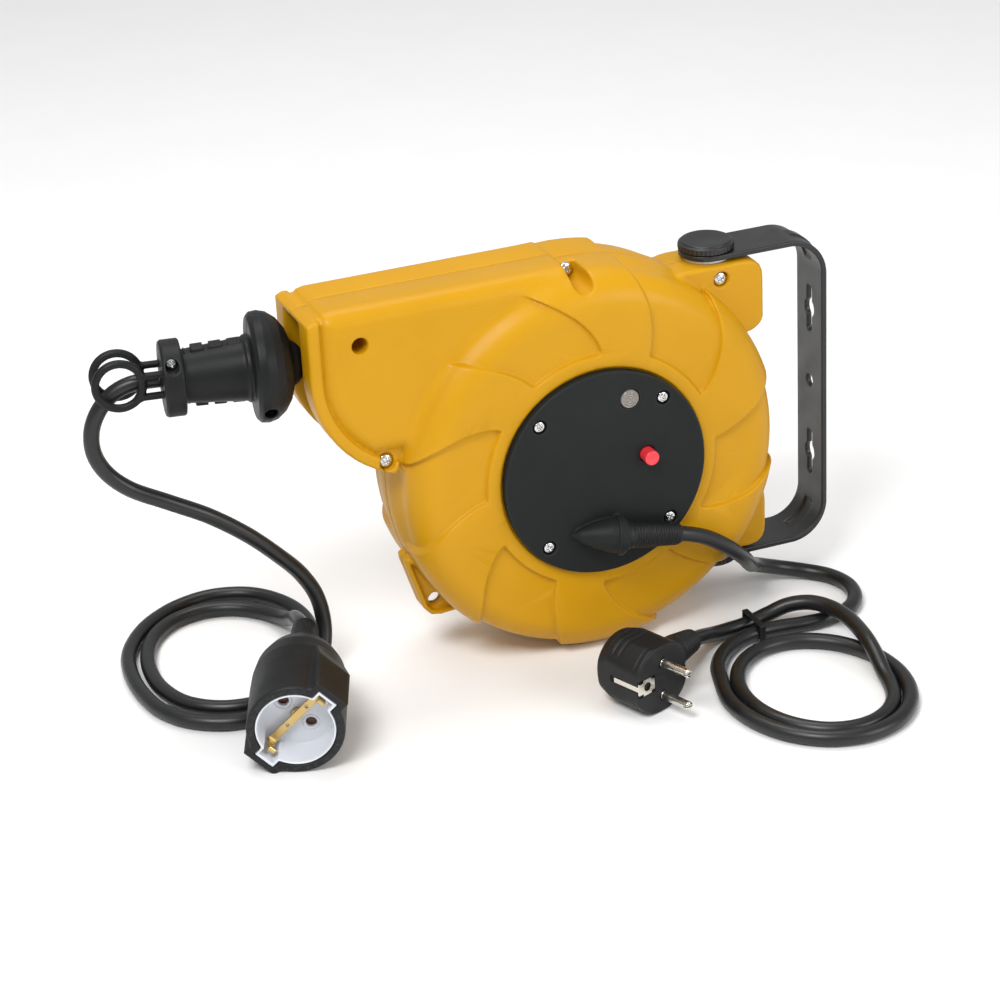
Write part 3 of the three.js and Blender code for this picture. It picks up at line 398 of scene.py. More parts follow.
def housing(front):
    side = -1 if front else 1

    def field(x, y, z):
        ys = y * side
        r = np.hypot(x, z)
        body = round_body(r, np.abs(y), 0) + panels(x, z, r, ys)
        snout_flat = poly(x, z, SNOUT_FLAT)
        snout = slab(snout_flat, y, 28, 10)
        neck = slab(poly(x, z, NECK), y, 22.5, 3)
        lip = slab(poly(x, z, LIP), y, 26.8, 2.4)
        d = smin(body, snout, 4.0)
        d = smin(d, smin(neck, lip, 1.5), 1.6)
        top = slab(poly(x, z, LUG_TOP), y, 17, 2.2)
        low = slab(poly(x, z, LUG_LOW), y, 17, 2.2)
        hook = slab(poly(x, z, HOOK), y, 7, 1.5)
        pocket = slab(poly(x, z, HOOK) + 2.6, y - side * 7, 3.6, 0.6)
        hook = smax(smax(hook, -pocket, 0.8), -(np.hypot(x + 85.8, z + 73) - 3.9), 0.8)
        d = smin(d, smin(top, smin(low, hook, 1.5), 1.5), 2.5)
        # the channel of the upper screw opens through the shoulder
        wells = slab(np.hypot(x + 4.5, z - 104.5) - 5.4, y + 34, 26, 0.3)
        chan = slab(np.maximum(np.abs(x + 4.5) - 5.4, 104.5 - z), y + 34, 26, 0.3)
        d_hollow = round_body(r, np.abs(y), 3) + panels(x, z, r, ys, 4.8)
        seat = np.where(r < 61, ys - 34, ys - 37)
        hollow = smax(d_hollow, seat, 0.5)
        cave = slab(snout_flat + 3, y, 25, 7)
        hollow = np.minimum(hollow, cave)
        relief = np.minimum(np.hypot(x - 81, y) - 15.8, np.maximum(65.2 - x, -y) if not front else 1e3)
        relief = np.maximum(relief, z + 77.4)
        hollow = smax(hollow, -(relief - 2.6), 0.5)
        slot = slab(poly(x, z, SLOT), y, 12, 1.0)
        bosses = None
        for name, sx, sz, seat_y in SHELL_SCREWS:
            deep = 26.5 if "snout" in name else 12.0
            boss = slab(np.hypot(x - sx, z - sz) - (6.5 if "snout" in name else 7.2), y, deep, 0.4)
            bosses = boss if bosses is None else np.minimum(bosses, boss)
        if front:                             # the upper screw's channel is walled off from the hollow
            liner = slab(np.hypot(x + 4.5, z - 104.5) - 7.6, y + 18, 17.5, 0.4)
            bosses = np.minimum(bosses, liner)
        hollow = smax(hollow, -bosses, 0.6)
        d = smax(d, -hollow, 0.6)
        d = smax(d, -slot, 1.2)
        d = smax(d, -relief, 0.8)
        if front:
            for name, sx, sz, seat_y in SHELL_SCREWS:
                well = slab(np.hypot(x - sx, z - sz) - 4.4, y - (seat_y - 30), 30, 0.2)
                if name == "top":
                    well = np.minimum(wells, chan)
                d = smax(d, -well, 1.0)
            d = smax(d, -rod_y(x, y, z, 0, 0, 58.1, -60, -38.3, 0.2), 0.9)
            d = smax(d, -rod_y(x, y, z, 0, 0, 43, -60, -20, 0.2), 0.6)
            d = smax(d, -rod_y(x, y, z, *LENS_AT, 7, -45, -30, 0.2), 0.6)
            for sx, sz in DISC_SCREWS:
                d = smax(d, -rod_y(x, y, z, sx, sz, 1.9, -60, -30, 0.2), 0.4)
        for name, sx, sz, seat_y in SHELL_SCREWS:
            d = smax(d, -rod_y(x, y, z, sx, sz, 2.15, -30, 14.6, 0.2), 0.4)
        for zc, half, radius in ((91.3, 3.7, 4.4), (-76.2, 3.8, 4.4), (89.1, 1.5, 6.4), (-73.9, 1.5, 6.4)):
            d = smax(d, -slab(np.hypot(x - 81, y) - radius, z - zc, half, 0.2), 0.4)
        if not front:
            boss = slab(r - 16, y - 34, 3.5, 0.4)
            d = smin(d, boss, 0.8)
            d = smin(d, slab(np.hypot(x - 34, z - 91.9) - 1.5, y - 31, 6.1, 0.2), 0.6)
            d = smax(d, -rod_y(x, y, z, 0, 0, 8.3, 20, 36.6, 0.2), 0.4)
        return smax(d, 0.15 - ys, 0.7)
    return field


front_shell = carved("front_housing", housing(True), (-156, -43, -112), (112, 2, 114), 0.9, "housing",
                     ["front_shell"], keep=0.36)
rear_shell = carved("rear_housing", housing(False), (-156, -2, -112), (112, 43, 114), 0.9, "housing",
                    ["rear_shell"], keep=0.34)

# ---------------------------------------------------------------- black disc, gland, lens and button
def axial(x, y, z, origin, direction):
    """Distance along an axis and away from it."""
    n = np.array(direction, float)
    n = n / np.linalg.norm(n)
    dx, dy, dz = x - F(origin[0]), y - F(origin[1]), z - F(origin[2])
    t = dx * F(n[0]) + dy * F(n[1]) + dz * F(n[2])
    rho = np.sqrt(np.maximum(dx * dx + dy * dy + dz * dz - t * t, 0))
    return t, rho


HOOD_DIR = (1.0, -0.24, -0.11)
HOOD = [(-0.1, -28), (3.6, -23), (6.8, -15.5), (9.2, -7), (10.2, 0), (10.5, 6), (-0.1, 6)]


def cover_disc(x, y, z):
    r = np.hypot(x, z)
    d = slab(r - 57.5, y + 41.3, 2.7, 0.7)
    t, rho = axial(x, y, z, GLAND_END, HOOD_DIR)
    tg, rg = axial(x, y, z, GLAND_END, GLAND_DIR)
    hood = poly(rho, t, HOOD)
    lip = slab(rho - 10.9, t + 1.6, 1.6, 0.5)
    hood = smax(smin(hood, lip, 0.8), tg, 0.5)
    hood = smax(hood, y + 38.8, 0.3)
    d = smin(d, hood, 1.6)
    d = smax(d, -slab(rg - 4.6, tg - 5, 15, 0.2), 0.4)
    d = smax(d, -slab(rg - 8.2, tg, 2.2, 0.2), 0.4)
    d = smax(d, -rod_y(x, y, z, *LENS_AT, 5.6, -50, -30, 0.2), 0.5)
    ring = np.abs(np.hypot(x - LENS_AT[0], z - LENS_AT[1]) - 6.9) - 0.25
    d = smax(d, -slab(ring, y + 44, 0.35, 0.1), 0.3)
    d = smax(d, -rod_y(x, y, z, *BUTTON_AT, 4.6, -50, -30, 0.2), 0.8)
    for sx, sz in DISC_SCREWS:
        d = smax(d, -rod_y(x, y, z, sx, sz, 2.1, -50, -30, 0.2), 0.3)
        d = smax(d, -rod_y(x, y, z, sx, sz, 4.0, -50, -41.3, 0.3), 0.5)
    return d


disc = carved("black_cover", cover_disc, (-60, -66, -60), (60, -37, 60), 0.5, "housing",
              ["cover_disc"], keep=0.5)


def lens_field(x, y, z):
    q = np.hypot(x - LENS_AT[0], z - LENS_AT[1])
    dome = np.sqrt(q * q + (y + 20) ** 2) - 24.9
    d = smax(slab(q - 5.25, y + 41, 4, 0.2), dome, 0.4)
    rings = 0.14 * np.cos(q * 2 * math.pi / 1.3)
    return np.minimum(d + rings * ease((-y - 43) / 1.2), rod_y(x, y, z, *LENS_AT, 6.5, -38.3, -37, 0.2))


lens = carved("lamp_lens", lens_field, (8, -46, 33), (22, -36, 47), 0.18, "housing",
              ["indicator_lens"], keep=0.6)


def button_field(x, y, z):
    q = np.hypot(x - BUTTON_AT[0], z - BUTTON_AT[1])
    cap = slab(q - 4.1, y + 44.5, 6.0, 0.7)
    dish = np.sqrt(q * q + (y + 62) ** 2) - 11.9
    d = smax(cap, -dish, 0.4)
    return np.minimum(np.minimum(d, slab(q - 5.6, y + 37.3, 0.7, 0.2)), slab(q - 1.6, y + 35, 2.2, 0.2))


button = carved("red_button", button_field, (17, -52, -1), (31, -31, 13), 0.2, "button", ["reset_button"],
                keep=0.6)

SLEEVE = [(4.6, 0), (7.6, 0), (7.6, 3.2), (6.9, 4.2), (6.7, 13), (6.1, 22), (5.7, 31.5), (5.2, 33), (4.6, 33)]


def sleeve_field(x, y, z):
    t, rho = axial(x, y, z, SLEEVE_START, GLAND_DIR)
    ribs = 0.34 * np.cos(t * 2 * math.pi / 1.55) * ease((t - 4.5) / 1.5) * ease((32 - t) / 1.5)
    return smax(poly(rho, t, SLEEVE) - 0.1 + ribs, 4.55 - rho, 0.2)


sleeve = carved("ribbed_sleeve", sleeve_field, (4, -62, -52), (45, -43, -24), 0.3, "housing",
                ["gland_sleeve"],
                keep=0.6)

# ---------------------------------------------------------------- screws


def screw_field(head, height, shank, length):
    def field(x, y, z):
        q = np.hypot(x, z)
        pan = smax(slab(q - head, y - height / 2 - 1, height / 2 + 1, 0.35),
                   np.sqrt(q * q + (y - 7.2) ** 2) - 7.2, 0.5)
        body = slab(q - shank, y - (height + length) / 2, (height + length) / 2, 0.2)
        body = body + 0.18 * np.cos(y * 2 * math.pi / 1.2) * ease((y - height - 0.8) / 0.6)
        depth = 1.7 - 0.55 * np.abs(q) / head
        bar = np.minimum(np.maximum(np.abs(x) - 0.42, np.abs(z) - 0.56 * head),
                         np.maximum(np.abs(z) - 0.42, np.abs(x) - 0.56 * head))
        bar = np.minimum(bar, q - 0.85)
        cross = smax(bar, y - depth, 0.15)
        return smax(smin(pan, body, 0.3), -cross, 0.18)
    return field


def screw_mesh(head, height, shank, length):
    reach = head + 0.6
    h = 0.17 * 1
    return net(screw_field(head, height, shank, length), (-reach, -0.6, -reach),
               (reach, height + length + 0.6, reach), h)


def put_screw(name, mesh, position, angle, body, node, frame_matrix=None):
    m = Matrix.Translation(Vector(position)) @ Matrix.Rotation(angle, 4, "Y")
    if frame_matrix is not None:
        m = frame_matrix @ m
    obj = mesh_object(name, *mesh, transform=m, keep=0.55)
    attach(obj, body)
    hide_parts(node)
    return obj


screws = []
short = screw_mesh(3.0, 2.4, 1.6, 9)
for i, (sx, sz) in enumerate(DISC_SCREWS):
    screws.append(put_screw(f"cover_screw_{i + 1}", short, (sx, -43.85, sz), 0.5 + 1.1 * i, "housing",
                            f"disc_screw_{i + 1}"))
by_seat = {}
for i, (name, sx, sz, seat) in enumerate(SHELL_SCREWS):
    if seat not in by_seat:
        by_seat[seat] = screw_mesh(3.7, 2.6, 1.8, 14 - seat)
    screws.append(put_screw(f"shell_screw_{name}", by_seat[seat], (sx, seat - 2.65, sz), 0.3 + 0.9 * i,
                            "housing",
                            f"housing_screw_{name}"))

# ---------------------------------------------------------------- cable stopper
outlet_frame = Matrix.Translation(Vector(BALL)) @ Matrix.Rotation(-YAW, 4, "Z")
STOPPER = fillet([(4.55, 19), (7.6, 18), (10.6, 15.4), (12, 13), (19, 10.6), (24.2, 7.1), (27.8, 2.4),
                  (29, -2), (28.6, -6), (26.5, -8), (16.8, -8.6), (13.9, -43), (19.4, -43.3), (20, -44.2),
                  (20, -52.6), (19, -54), (4.55, -54)], 1.2, 3)
STOPPER_SCREWS = [(-2, -17), (-49, 12)]


def stopper(side):
    def field(x, y, z):
        rho = np.hypot(y, z)
        d = poly(rho, x, STOPPER)
        d = smin(d, slab(rho - 17.2 + 0.02 * x, x + 9.3, 1.3, 0.4), 2.0)
        # raised dashes along the seam, on top and below
        bars = np.abs(np.mod(x + 1.5, 9.5) - 4.75) - 3.2
        ribs = slab(np.maximum(np.abs(np.abs(z) - 15.6 - 0.03 * x) - 1.3, bars),
                    y, 4.2, 0.6)
        ribs = np.maximum(ribs, np.maximum(x + 10, -41.5 - x))
        d = smin(d, ribs, 0.6)
        ys = y * side
        centre = 7.4
        ring = np.hypot(np.hypot(x + 76, z - 2) - 12.0, ys - centre) - 2.2
        bars = None
        for zc, half in ((5.6, 1.5), (-5.6, 1.5)):
            bar = rbox(x, ys, z, (-68, centre - 2.2, zc - half), (-52, centre + 2.2, zc + half), 1.0)
            bars = bar if bars is None else smin(bars, bar, 0.6)
        end = rbox(x, ys, z, (-68.0, centre - 2.2, -7), (-64.5, centre + 2.2, 7), 1.2)
        d = smin(d, smin(smin(bars, end, 1.0), ring, 1.5), 1.0)
        inner = np.hypot(x + 76, z - 2) - 9.85
        d = smax(d, -slab(inner, ys - centre, 4, 0.2), 0.8)
        for sx, sz in STOPPER_SCREWS:
            q = np.hypot(x - sx, z - sz)
            d = smax(d, -slab(q - 1.9, y, 12, 0.2), 0.3)
            if side < 0:
                d = smax(d, -slab(q - 3.4, y + 29, 20, 0.2), 0.7)
        d = smax(d, 4.55 - rho, 0.3)
        return smax(d, 0.15 - ys, 0.5)
    return field


stopper_pieces = [
    carved("stopper_front", stopper(-1), (-92, -31, -31), (22, 1, 31), 0.5, "outlet", ["stopper_front_half"],
           transform=outlet_frame, keep=0.6),
    carved("stopper_rear", stopper(1), (-92, -1, -31), (22, 31, 31), 0.5, "outlet", ["stopper_rear_half"],
           transform=outlet_frame, keep=0.6)]
stopper_mesh = screw_mesh(3.0, 2.2, 1.6, 18)
for i, (sx, sz) in enumerate(STOPPER_SCREWS):
    screws.append(put_screw(f"clamp_screw_{i + 1}", stopper_mesh, (sx, -11.25, sz), 0.4 + i, "outlet",
                            f"stopper_screw_{i + 1}", outlet_frame))

# the straight stretch inside
lead_local = [(-54.8, 0, 0), (-20, 0, 0), (20, 0, 0), (50, 0.1, 0), (90, 1.5, 0), (131, 4.8, 0)]
lead_route = [tuple(outlet_frame @ Vector(p)) for p in lead_local]
inner_lead = cord_curve("inner_lead", lead_route)[0]

# ---------------------------------------------------------------- wall bracket
STRIP_TOP, STRIP_LOW, WALL_X, BEND = 97.6, -82.4, 146.0, 22.0
HOLE_Z, KEY_STEP = 7.5, 43.2


def bracket_field(x, y, z):
    mid, half_z = (STRIP_TOP + STRIP_LOW) / 2, (STRIP_TOP - STRIP_LOW) / 2
    qx, qz = x - (WALL_X - BEND), np.abs(z - mid) - (half_z - BEND)
    outer = np.hypot(np.maximum(qx, 0), np.maximum(qz, 0)) + np.minimum(np.maximum(qx, qz), 0) - BEND
    mid_line = outer + 1.5
    corner = np.hypot(np.maximum(qx, 0), np.maximum(qz, 0)) * ((qx > 0) & (qz > 0))
    angle = np.arctan2(np.maximum(qz, 0), np.maximum(qx, 1e-3))
    rib = ease((0.62 - np.abs(angle - math.pi / 4)) / 0.2) * ease((5.2 - np.abs(y)) / 2.2) * (corner > 8)
    mid_line = mid_line - 1.1 * rib
    d = np.hypot(np.maximum(np.abs(mid_line) - 0.9, 0), np.maximum(np.abs(y) - 14.4, 0)) - 0.6
    d = np.maximum(d, np.minimum(np.abs(mid_line) - 1.5, 0))
    ends = np.where(x < 81, np.hypot(x - 81, y) - 15, -5)
    d = smax(d, ends, 0.8)
    d = smax(d, -(np.hypot(x - 81, y) - 4.4), 0.5)
    holes = np.hypot(y, z - HOLE_Z) - 3.5
    for side in (-1, 1):
        zc = HOLE_Z + side * KEY_STEP
        holes = np.minimum(holes, np.hypot(y, z - zc) - 5)
        holes = np.minimum(holes, np.hypot(y, np.maximum(np.abs(z - zc) - 11, 0)) - 2.6)
    holes = np.maximum(holes, 130 - x)
    return smax(d, -holes, 0.6)


bracket = carved("steel_bracket", bracket_field, (63, -17, -85), (149, 17, 100), 0.6, "bracket",
                 ["wall_bracket"],
                 keep=0.5)


def cap_field(side):
    top = STRIP_TOP if side > 0 else STRIP_LOW

    def field(x, y, z):
        h = (z - top) * side
        q = np.hypot(x - 81, y)
        notch = 0.22 * np.cos(np.arctan2(y, x - 81) * 40) * ease((q - 13) / 1.5) * ease((3.4 - h) / 0.6)
        d = slab(q - 15 + notch, h - 2.15, 1.85, 0.7)
        d = smin(d, slab(q - 13.7, h - 3.2, 2.0, 0.9), 0.5)
        dish = np.sqrt(q * q + (h - 64.6) ** 2) - 60.0
        d = smax(d, -dish, 0.6)
        return smax(d, -slab(q - 8, h - 0.4, 3.0, 0.2), 0.4)
    return field


caps = [
    carved("knob_top", cap_field(1), (64, -17, 96), (98, 17, 104), 0.4, "bracket", ["pivot_cap_top"],
           keep=0.6),
    carved("knob_bottom", cap_field(-1), (64, -17, -89), (98, 17, -81), 0.4, "bracket", ["pivot_cap_bottom"],
           keep=0.6)]

# ---------------------------------------------------------------- plug
plug_frame = Matrix.Translation(Vector(PLUG_FACE)) @ Matrix.Rotation(PLUG_TURN, 4, "Z")
PLUG = fillet([(-0.1, 0), (19.2, 0), (20.2, 1.2), (20.2, 24), (18, 31), (12, 35), (-0.1, 36)], 1.5, 3)


def plug_field(x, y, z):
    r = np.hypot(x, z)
    d = poly(r, y, PLUG)
    d = smax(d, np.abs(x) - 18.1 + 0.04 * np.maximum(y - 4, 0), 1.2)
    d = smax(d, np.abs(z) - 19, 0.6)
    # grip waves over the top and under the bottom, and the seam behind the face
    reach = ease((y - 14) / 3) * ease((29 - y) / 3) * ease((np.abs(z) - 12) / 3)
    waves = 0.45 * np.cos(y * 2 * math.pi / 4.2) * reach
    d = d + np.maximum(waves, 0)
    d = smax(d, -slab(np.abs(y - 4.2) - 0.3, r - 20.2, 0.45, 0.1), 0.3)
    for zc in (-9.5, 9.5):
        q = np.hypot(x, z - zc)
        d = smax(d, -slab(q - 2.7, y - 5.5, 6.5, 0.2), 0.3)
    for side in (-1, 1):
        d = smax(d, -rbox(x * side, y, z, (16.3, -3, -1.8), (22, 21.5, 1.8), 0.2), 0.4)
    return smax(d, -rbox(x, y, z, (-22, -3, -5), (-5.6, 1.4, 5), 0.2), 0.3)


plug_body = carved("plug_shell", plug_field, (-21, -3, -21), (21, 38, 21), 0.45, "housing", ["plug_body"],
                   transform=plug_frame, keep=0.6)


def pin_field(x, y, z):
    r = np.hypot(x, z)
    shaft = slab(r - 2.4, y + 3.7, 15.3, 1.1)
    collar = slab(r - 2.55, y - 2.0, 3.0, 0.3)
    split = np.maximum(np.abs(z) - 0.28, y + 16.2)        # fine slot across the tip
    return smax(smin(shaft, collar, 0.3), -split, 0.15)


pin_mesh = net(pin_field, (-3.4, -20, -3.4), (3.4, 13, 3.4), 0.2)
pins = []
for name, zc in (("upper", 9.5), ("lower", -9.5)):
    pin_at = plug_frame @ Matrix.Translation(Vector((0, 0, zc)))
    pin = mesh_object(f"pin_{name}", *pin_mesh, transform=pin_at, keep=0.6)
    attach(pin, "housing")
    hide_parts(f"plug_pin_{name}")
    pins.append(pin)

BOOT_VEC = PLUG_BOOT_END - PLUG_BOOT_START
BOOT_LEN = float(np.linalg.norm(BOOT_VEC)) - 0.4


def boot_solid(x, y, z):
    t, rho = axial(x, y, z, PLUG_BOOT_START, BOOT_VEC)
    d = poly(rho, t, [(-0.1, -5), (8.6, -5), (8.5, 9.7), (8.2, 14), (6.3, BOOT_LEN), (-0.1, BOOT_LEN)]) - 0.1
    beside = (x - PLUG_FACE[0]) * math.cos(PLUG_TURN) + (y - PLUG_FACE[1]) * math.sin(PLUG_TURN)
    d = smax(d, 18.3 - beside, 0.3)           # the boot ends on the plug's flat side
    ribs = 0.5 * np.cos(t * 2 * math.pi / 3.1) * ease((t - 10.5) / 1.0) * ease((BOOT_LEN - 1 - t) / 1.0)
    d = d + np.maximum(ribs, -0.15)
    return smax(d, -slab(rho - 4.55, t - BOOT_LEN, 8, 0.1), 0.2)


plug_boot = carved("plug_relief", boot_solid, (3, -101, -106), (42, -66, -80), 0.35, "housing",
                   ["plug_boot"], keep=0.6)

# ---------------------------------------------------------------- socket coupler
socket_frame = (Matrix.Translation(Vector(COUPLER_FACE)) @ Matrix.Rotation(COUPLER_TURN, 4, "Z")
                @ Matrix.Rotation(COUPLER_TILT, 4, "X"))
SOCKET = fillet([(-0.1, 0.2), (24.9, 0.2), (25.4, 1.5), (25.4, 32), (25, 44), (23.6, 54), (20, 63.5),
                 (15, 69),
                 (9, 72), (-0.1, 72)], 1.4, 3)
DIAG = math.radians(45)


def turned_xz(x, z, angle):
    c, s = F(math.cos(angle)), F(math.sin(angle))
    return x * c + z * s, z * c - x * s


def socket_field(x, y, z):
    r = np.hypot(x, z)
    u, v = turned_xz(x, z, DIAG)
    d = poly(r, y, SOCKET)
    taper = np.maximum(y - 30, 0) * 0.32
    lugs = slab(np.maximum(np.abs(u) - 28.8 + taper, np.abs(v) - 10.3 + taper * 0.2), y - 23.2, 22.8, 1.4)
    d = smin(d, lugs, 1.5)
    d = smax(d, -slab(r - 21.1, y - 15, 16.5, 0.3), 0.7)
    notch = slab(np.maximum(np.abs(u) - 25.4, np.abs(v) - 6.4), y - 11, 13, 0.3)
    d = smax(d, -notch, 0.5)
    return smax(d, -slab(r - 5.4, y - 60, 20, 0.2), 0.4)


socket_body = carved("coupler_shell", socket_field, (-31, -1, -31), (31, 74, 31), 0.6, "outlet",
                     ["socket_body"],
                     transform=socket_frame, keep=0.55)


def insert_field(x, y, z):
    r = np.hypot(x, z)
    u, v = turned_xz(x, z, DIAG)
    d = slab(r - 20.7, y - 15.7, 15.3, 0.5)
    key = slab(np.maximum(np.abs(u) - 25.0, np.abs(v) - 6.0), y - 12.05, 11.55, 0.4)
    d = smin(d, key, 0.5)
    d = smax(d, -slab(r - 19.6, y - 8, 10, 0.6), 0.8)
    d = smax(d, -slab(r - 16.5, y - 28, 7, 0.3), 0.4)
    recess = slab(np.maximum(np.abs(u) - 23.6, np.abs(v) - 4.6), y - 8, 10, 0.4)
    d = smax(d, -recess, 0.6)
    for side in (-1, 1):
        hole = np.hypot(u, v - side * 9.5) - 2.9
        d = smax(d, -slab(hole, y - 18, 8, 0.2), 0.9)
        ring = np.abs(np.hypot(u, v - side * 9.5) - 4.6) - 0.3
        d = smax(d, -slab(ring, y - 18, 0.5, 0.1), 0.3)
    for side in (-1, 1):
        d = smax(d, -slab(np.hypot(u - side * 7.5, v) - 1.0, y - 18, 4, 0.1), 0.2)
    return smax(d, -slab(r - 1.7, y - 18, 8, 0.2), 0.3)


insert = carved("coupler_cup", insert_field, (-27, -1, -27), (27, 33, 27), 0.5, "outlet", ["socket_insert"],
                transform=socket_frame, keep=0.55)


def strap_field(x, y, z):
    u, v = turned_xz(x, z, DIAG)
    bar = rbox(u, y, v, (-20.6, 13.8, -2.2), (20.6, 15.0, 2.2), 0.4)
    prongs = np.minimum(rbox(u, y, v, (-20.6, 3.6, -2.2), (-19.3, 15, 2.2), 0.5),
                        rbox(u, y, v, (19.3, 3.6, -2.2), (20.6, 15, 2.2), 0.5))
    d = smin(bar, prongs, 2.0)
    for side in (-1, 1):
        curl = np.hypot(u - side * 18.9, y - 4.4) - 1.25
        d = smin(d, slab(curl, v, 2.2, 0.3), 0.8)
        d = smax(d, -slab(np.hypot(u - side * 7.5, v) - 0.9, y - 14.4, 2, 0.1), 0.2)
    q = np.hypot(u, v)
    post = np.minimum(slab(q - 1.4, y - 21.75, 7.25, 0.2), slab(q - 3, y - 16.3, 1.3, 0.3))
    return smin(d, post, 0.5)


strap = carved("coupler_strap", strap_field, (-18, 1, -18), (18, 30, 18), 0.3, "outlet",
               ["socket_earth_strap"],
               transform=socket_frame, keep=0.6)


def relief_field(x, y, z):
    r = np.hypot(x, z)
    d = poly(r, y, [(4.55, 72.4), (9, 72.4), (8.4, 80), (6.6, 101.8), (4.55, 102.2)]) - 0.1
    spiral = np.mod(y / 5.2 + np.arctan2(z, x) / (2 * math.pi), 0.5)
    cuts = ease((0.11 - np.abs(spiral - 0.25)) / 0.05) * ease((y - 77) / 2) * ease((99 - y) / 2)
    gap = ease((np.abs(np.mod(np.arctan2(z, x) / math.pi * 2, 1.0) - 0.5) - 0.12) / 0.1)
    return smax(d + 1.0 * cuts * gap, 4.55 - r, 0.2)


relief = carved("coupler_relief", relief_field, (-11, 71, -11), (11, 104, 11), 0.35, "outlet",
                ["socket_boot"],
                transform=socket_frame, keep=0.6)

# ---------------------------------------------------------------- coil tie
def tie_field(x, y, z):
    ring = slab(np.maximum(np.abs(y + 59.2) - 11.3, np.abs(z + 103.2) - 5.1), x - 78, 1.9, 0.6)
    hole = np.maximum(np.abs(y + 59.2) - 10.4, np.abs(z + 103.65) - 4.75)
    return smax(ring, -hole, 0.8)


tie = carved("cord_tie", tie_field, (74, -72, -110), (82, -46, -97), 0.35, "housing", ["coil_tie"], keep=0.6)

# ---------------------------------------------------------------- materials
def srgb(r, g, b):
    linear = [((v / 255 + 0.055) / 1.055) ** 2.4 if v > 10 else v / 255 / 12.92 for v in (r, g, b)]
    return tuple(linear) + (1.0,)


def material(name, color, rough, metal=0.0, grain=900, bump=0.15, tint=0.05, vary=0.06, coat=0.0, edge=0.0,
             brushed=None, specular=0.5):
    """Procedural surface: colour drift, roughness variation, grain bump and painted highlights on convex
    edges.
    """
    mat = bpy.data.materials.new(name)
    mat.use_nodes = True
    nodes, links = mat.node_tree.nodes, mat.node_tree.links
    shader = nodes["Principled BSDF"]
    shader.inputs["Metallic"].default_value = metal
    shader.inputs["Specular IOR Level"].default_value = specular
    shader.inputs["Coat Weight"].default_value = coat
    shader.inputs["Coat Roughness"].default_value = 0.25
    coords = nodes.new("ShaderNodeTexCoord")

    def noise(scale, detail=3.0, vector=None):
        n = nodes.new("ShaderNodeTexNoise")
        n.inputs["Scale"].default_value = scale
        n.inputs["Detail"].default_value = detail
        links.new(vector or coords.outputs["Object"], n.inputs["Vector"])
        return n.outputs["Fac"]

    def ramp(source, low, high, a=0.3, b=0.7):
        m = nodes.new("ShaderNodeMapRange")
        m.inputs["From Min"].default_value, m.inputs["From Max"].default_value = a, b
        m.inputs["To Min"].default_value, m.inputs["To Max"].default_value = low, high
        links.new(source, m.inputs["Value"])
        return m.outputs["Result"]

    def blend(factor, a, b):
        m = nodes.new("ShaderNodeMix")
        m.data_type = "RGBA"
        for socket, value in ((m.inputs[6], a), (m.inputs[7], b)):
            if hasattr(value, "is_linked"):
                links.new(value, socket)
            else:
                socket.default_value = value
        links.new(factor, m.inputs[0])
        return m.outputs[2]

    dark = tuple(v * (1 - tint) for v in color[:3]) + (1.0,)
    light = tuple(min(1.0, v * (1 + tint) + 0.002) for v in color[:3]) + (1.0,)
    shade = blend(ramp(noise(14), 0, 1), dark, light)
    if edge:
        # painted highlight: convex edges (by pointiness) are mixed towards a lighter copy of the colour,
        # standing in for edge glints
        geometry = nodes.new("ShaderNodeNewGeometry")
        painted_edge_highlight = ramp(geometry.outputs["Pointiness"], 0, edge, 0.505, 0.58)
        highlight_colour = tuple(min(1.0, v * 1.35 + 0.02) for v in color[:3]) + (1.0,)
        shade = blend(painted_edge_highlight, shade, highlight_colour)
    links.new(shade, shader.inputs["Base Color"])
    vector = None
    if brushed:
        mapping = nodes.new("ShaderNodeMapping")
        mapping.inputs["Scale"].default_value = brushed
        links.new(coords.outputs["Object"], mapping.inputs["Vector"])
        vector = mapping.outputs["Vector"]
    links.new(ramp(noise(60, 4.0, vector), rough - vary, rough + vary), shader.inputs["Roughness"])
    bumps = nodes.new("ShaderNodeBump")
    bumps.inputs["Strength"].default_value = bump
    bumps.inputs["Distance"].default_value = 0.0004
    links.new(noise(grain, 2.0, vector), bumps.inputs["Height"])
    links.new(bumps.outputs["Normal"], shader.inputs["Normal"])
    return mat


YELLOW = material("yellow_abs", srgb(195, 142, 4), 0.42, grain=1500, bump=0.05, tint=0.035, vary=0.05,
                  coat=0.04, specular=0.22)
BLACK = material("black_abs", srgb(22, 23, 23), 0.45, grain=2600, bump=0.16, tint=0.08, edge=0.3,
                 specular=0.2)
COVER = material("cover_black", srgb(29, 32, 31), 0.5, grain=3000, bump=0.2, tint=0.06, edge=0.4,
                 specular=0.15)
RUBBER = material("black_rubber", srgb(20, 21, 22), 0.5, grain=2200, bump=0.2, tint=0.1, edge=0.3,
                  specular=0.3)
JACKET = material("cord_jacket", srgb(17, 18, 19), 0.38, grain=1600, bump=0.08, tint=0.12, vary=0.08)
PAINT = material("bracket_paint", srgb(24, 25, 27), 0.36, grain=1300, bump=0.10, tint=0.08, vary=0.08,
                 coat=0.1, edge=0.4, specular=0.4)
KNOB = material("knob_black", srgb(20, 21, 22), 0.4, grain=2400, bump=0.15, tint=0.08, edge=0.4)
ZINC = material("zinc_plate", srgb(214, 214, 214), 0.22, metal=1.0, grain=1800, bump=0.05, vary=0.08)
NICKEL = material("nickel_pin", srgb(216, 212, 203), 0.2, metal=1.0, grain=900, bump=0.06, vary=0.07,
                  brushed=(1, 8, 1))
BRASS = material("brass_strip", srgb(206, 178, 118), 0.3, metal=1.0, grain=900, bump=0.08, vary=0.08,
                 tint=0.1,
                 brushed=(1, 6, 1))
WHITE = material("white_urea", srgb(214, 217, 224), 0.35, grain=1400, bump=0.05, tint=0.015, coat=0.2)
RED = material("red_button_plastic", srgb(226, 52, 62), 0.32, grain=1500, bump=0.05, tint=0.05, coat=0.3)
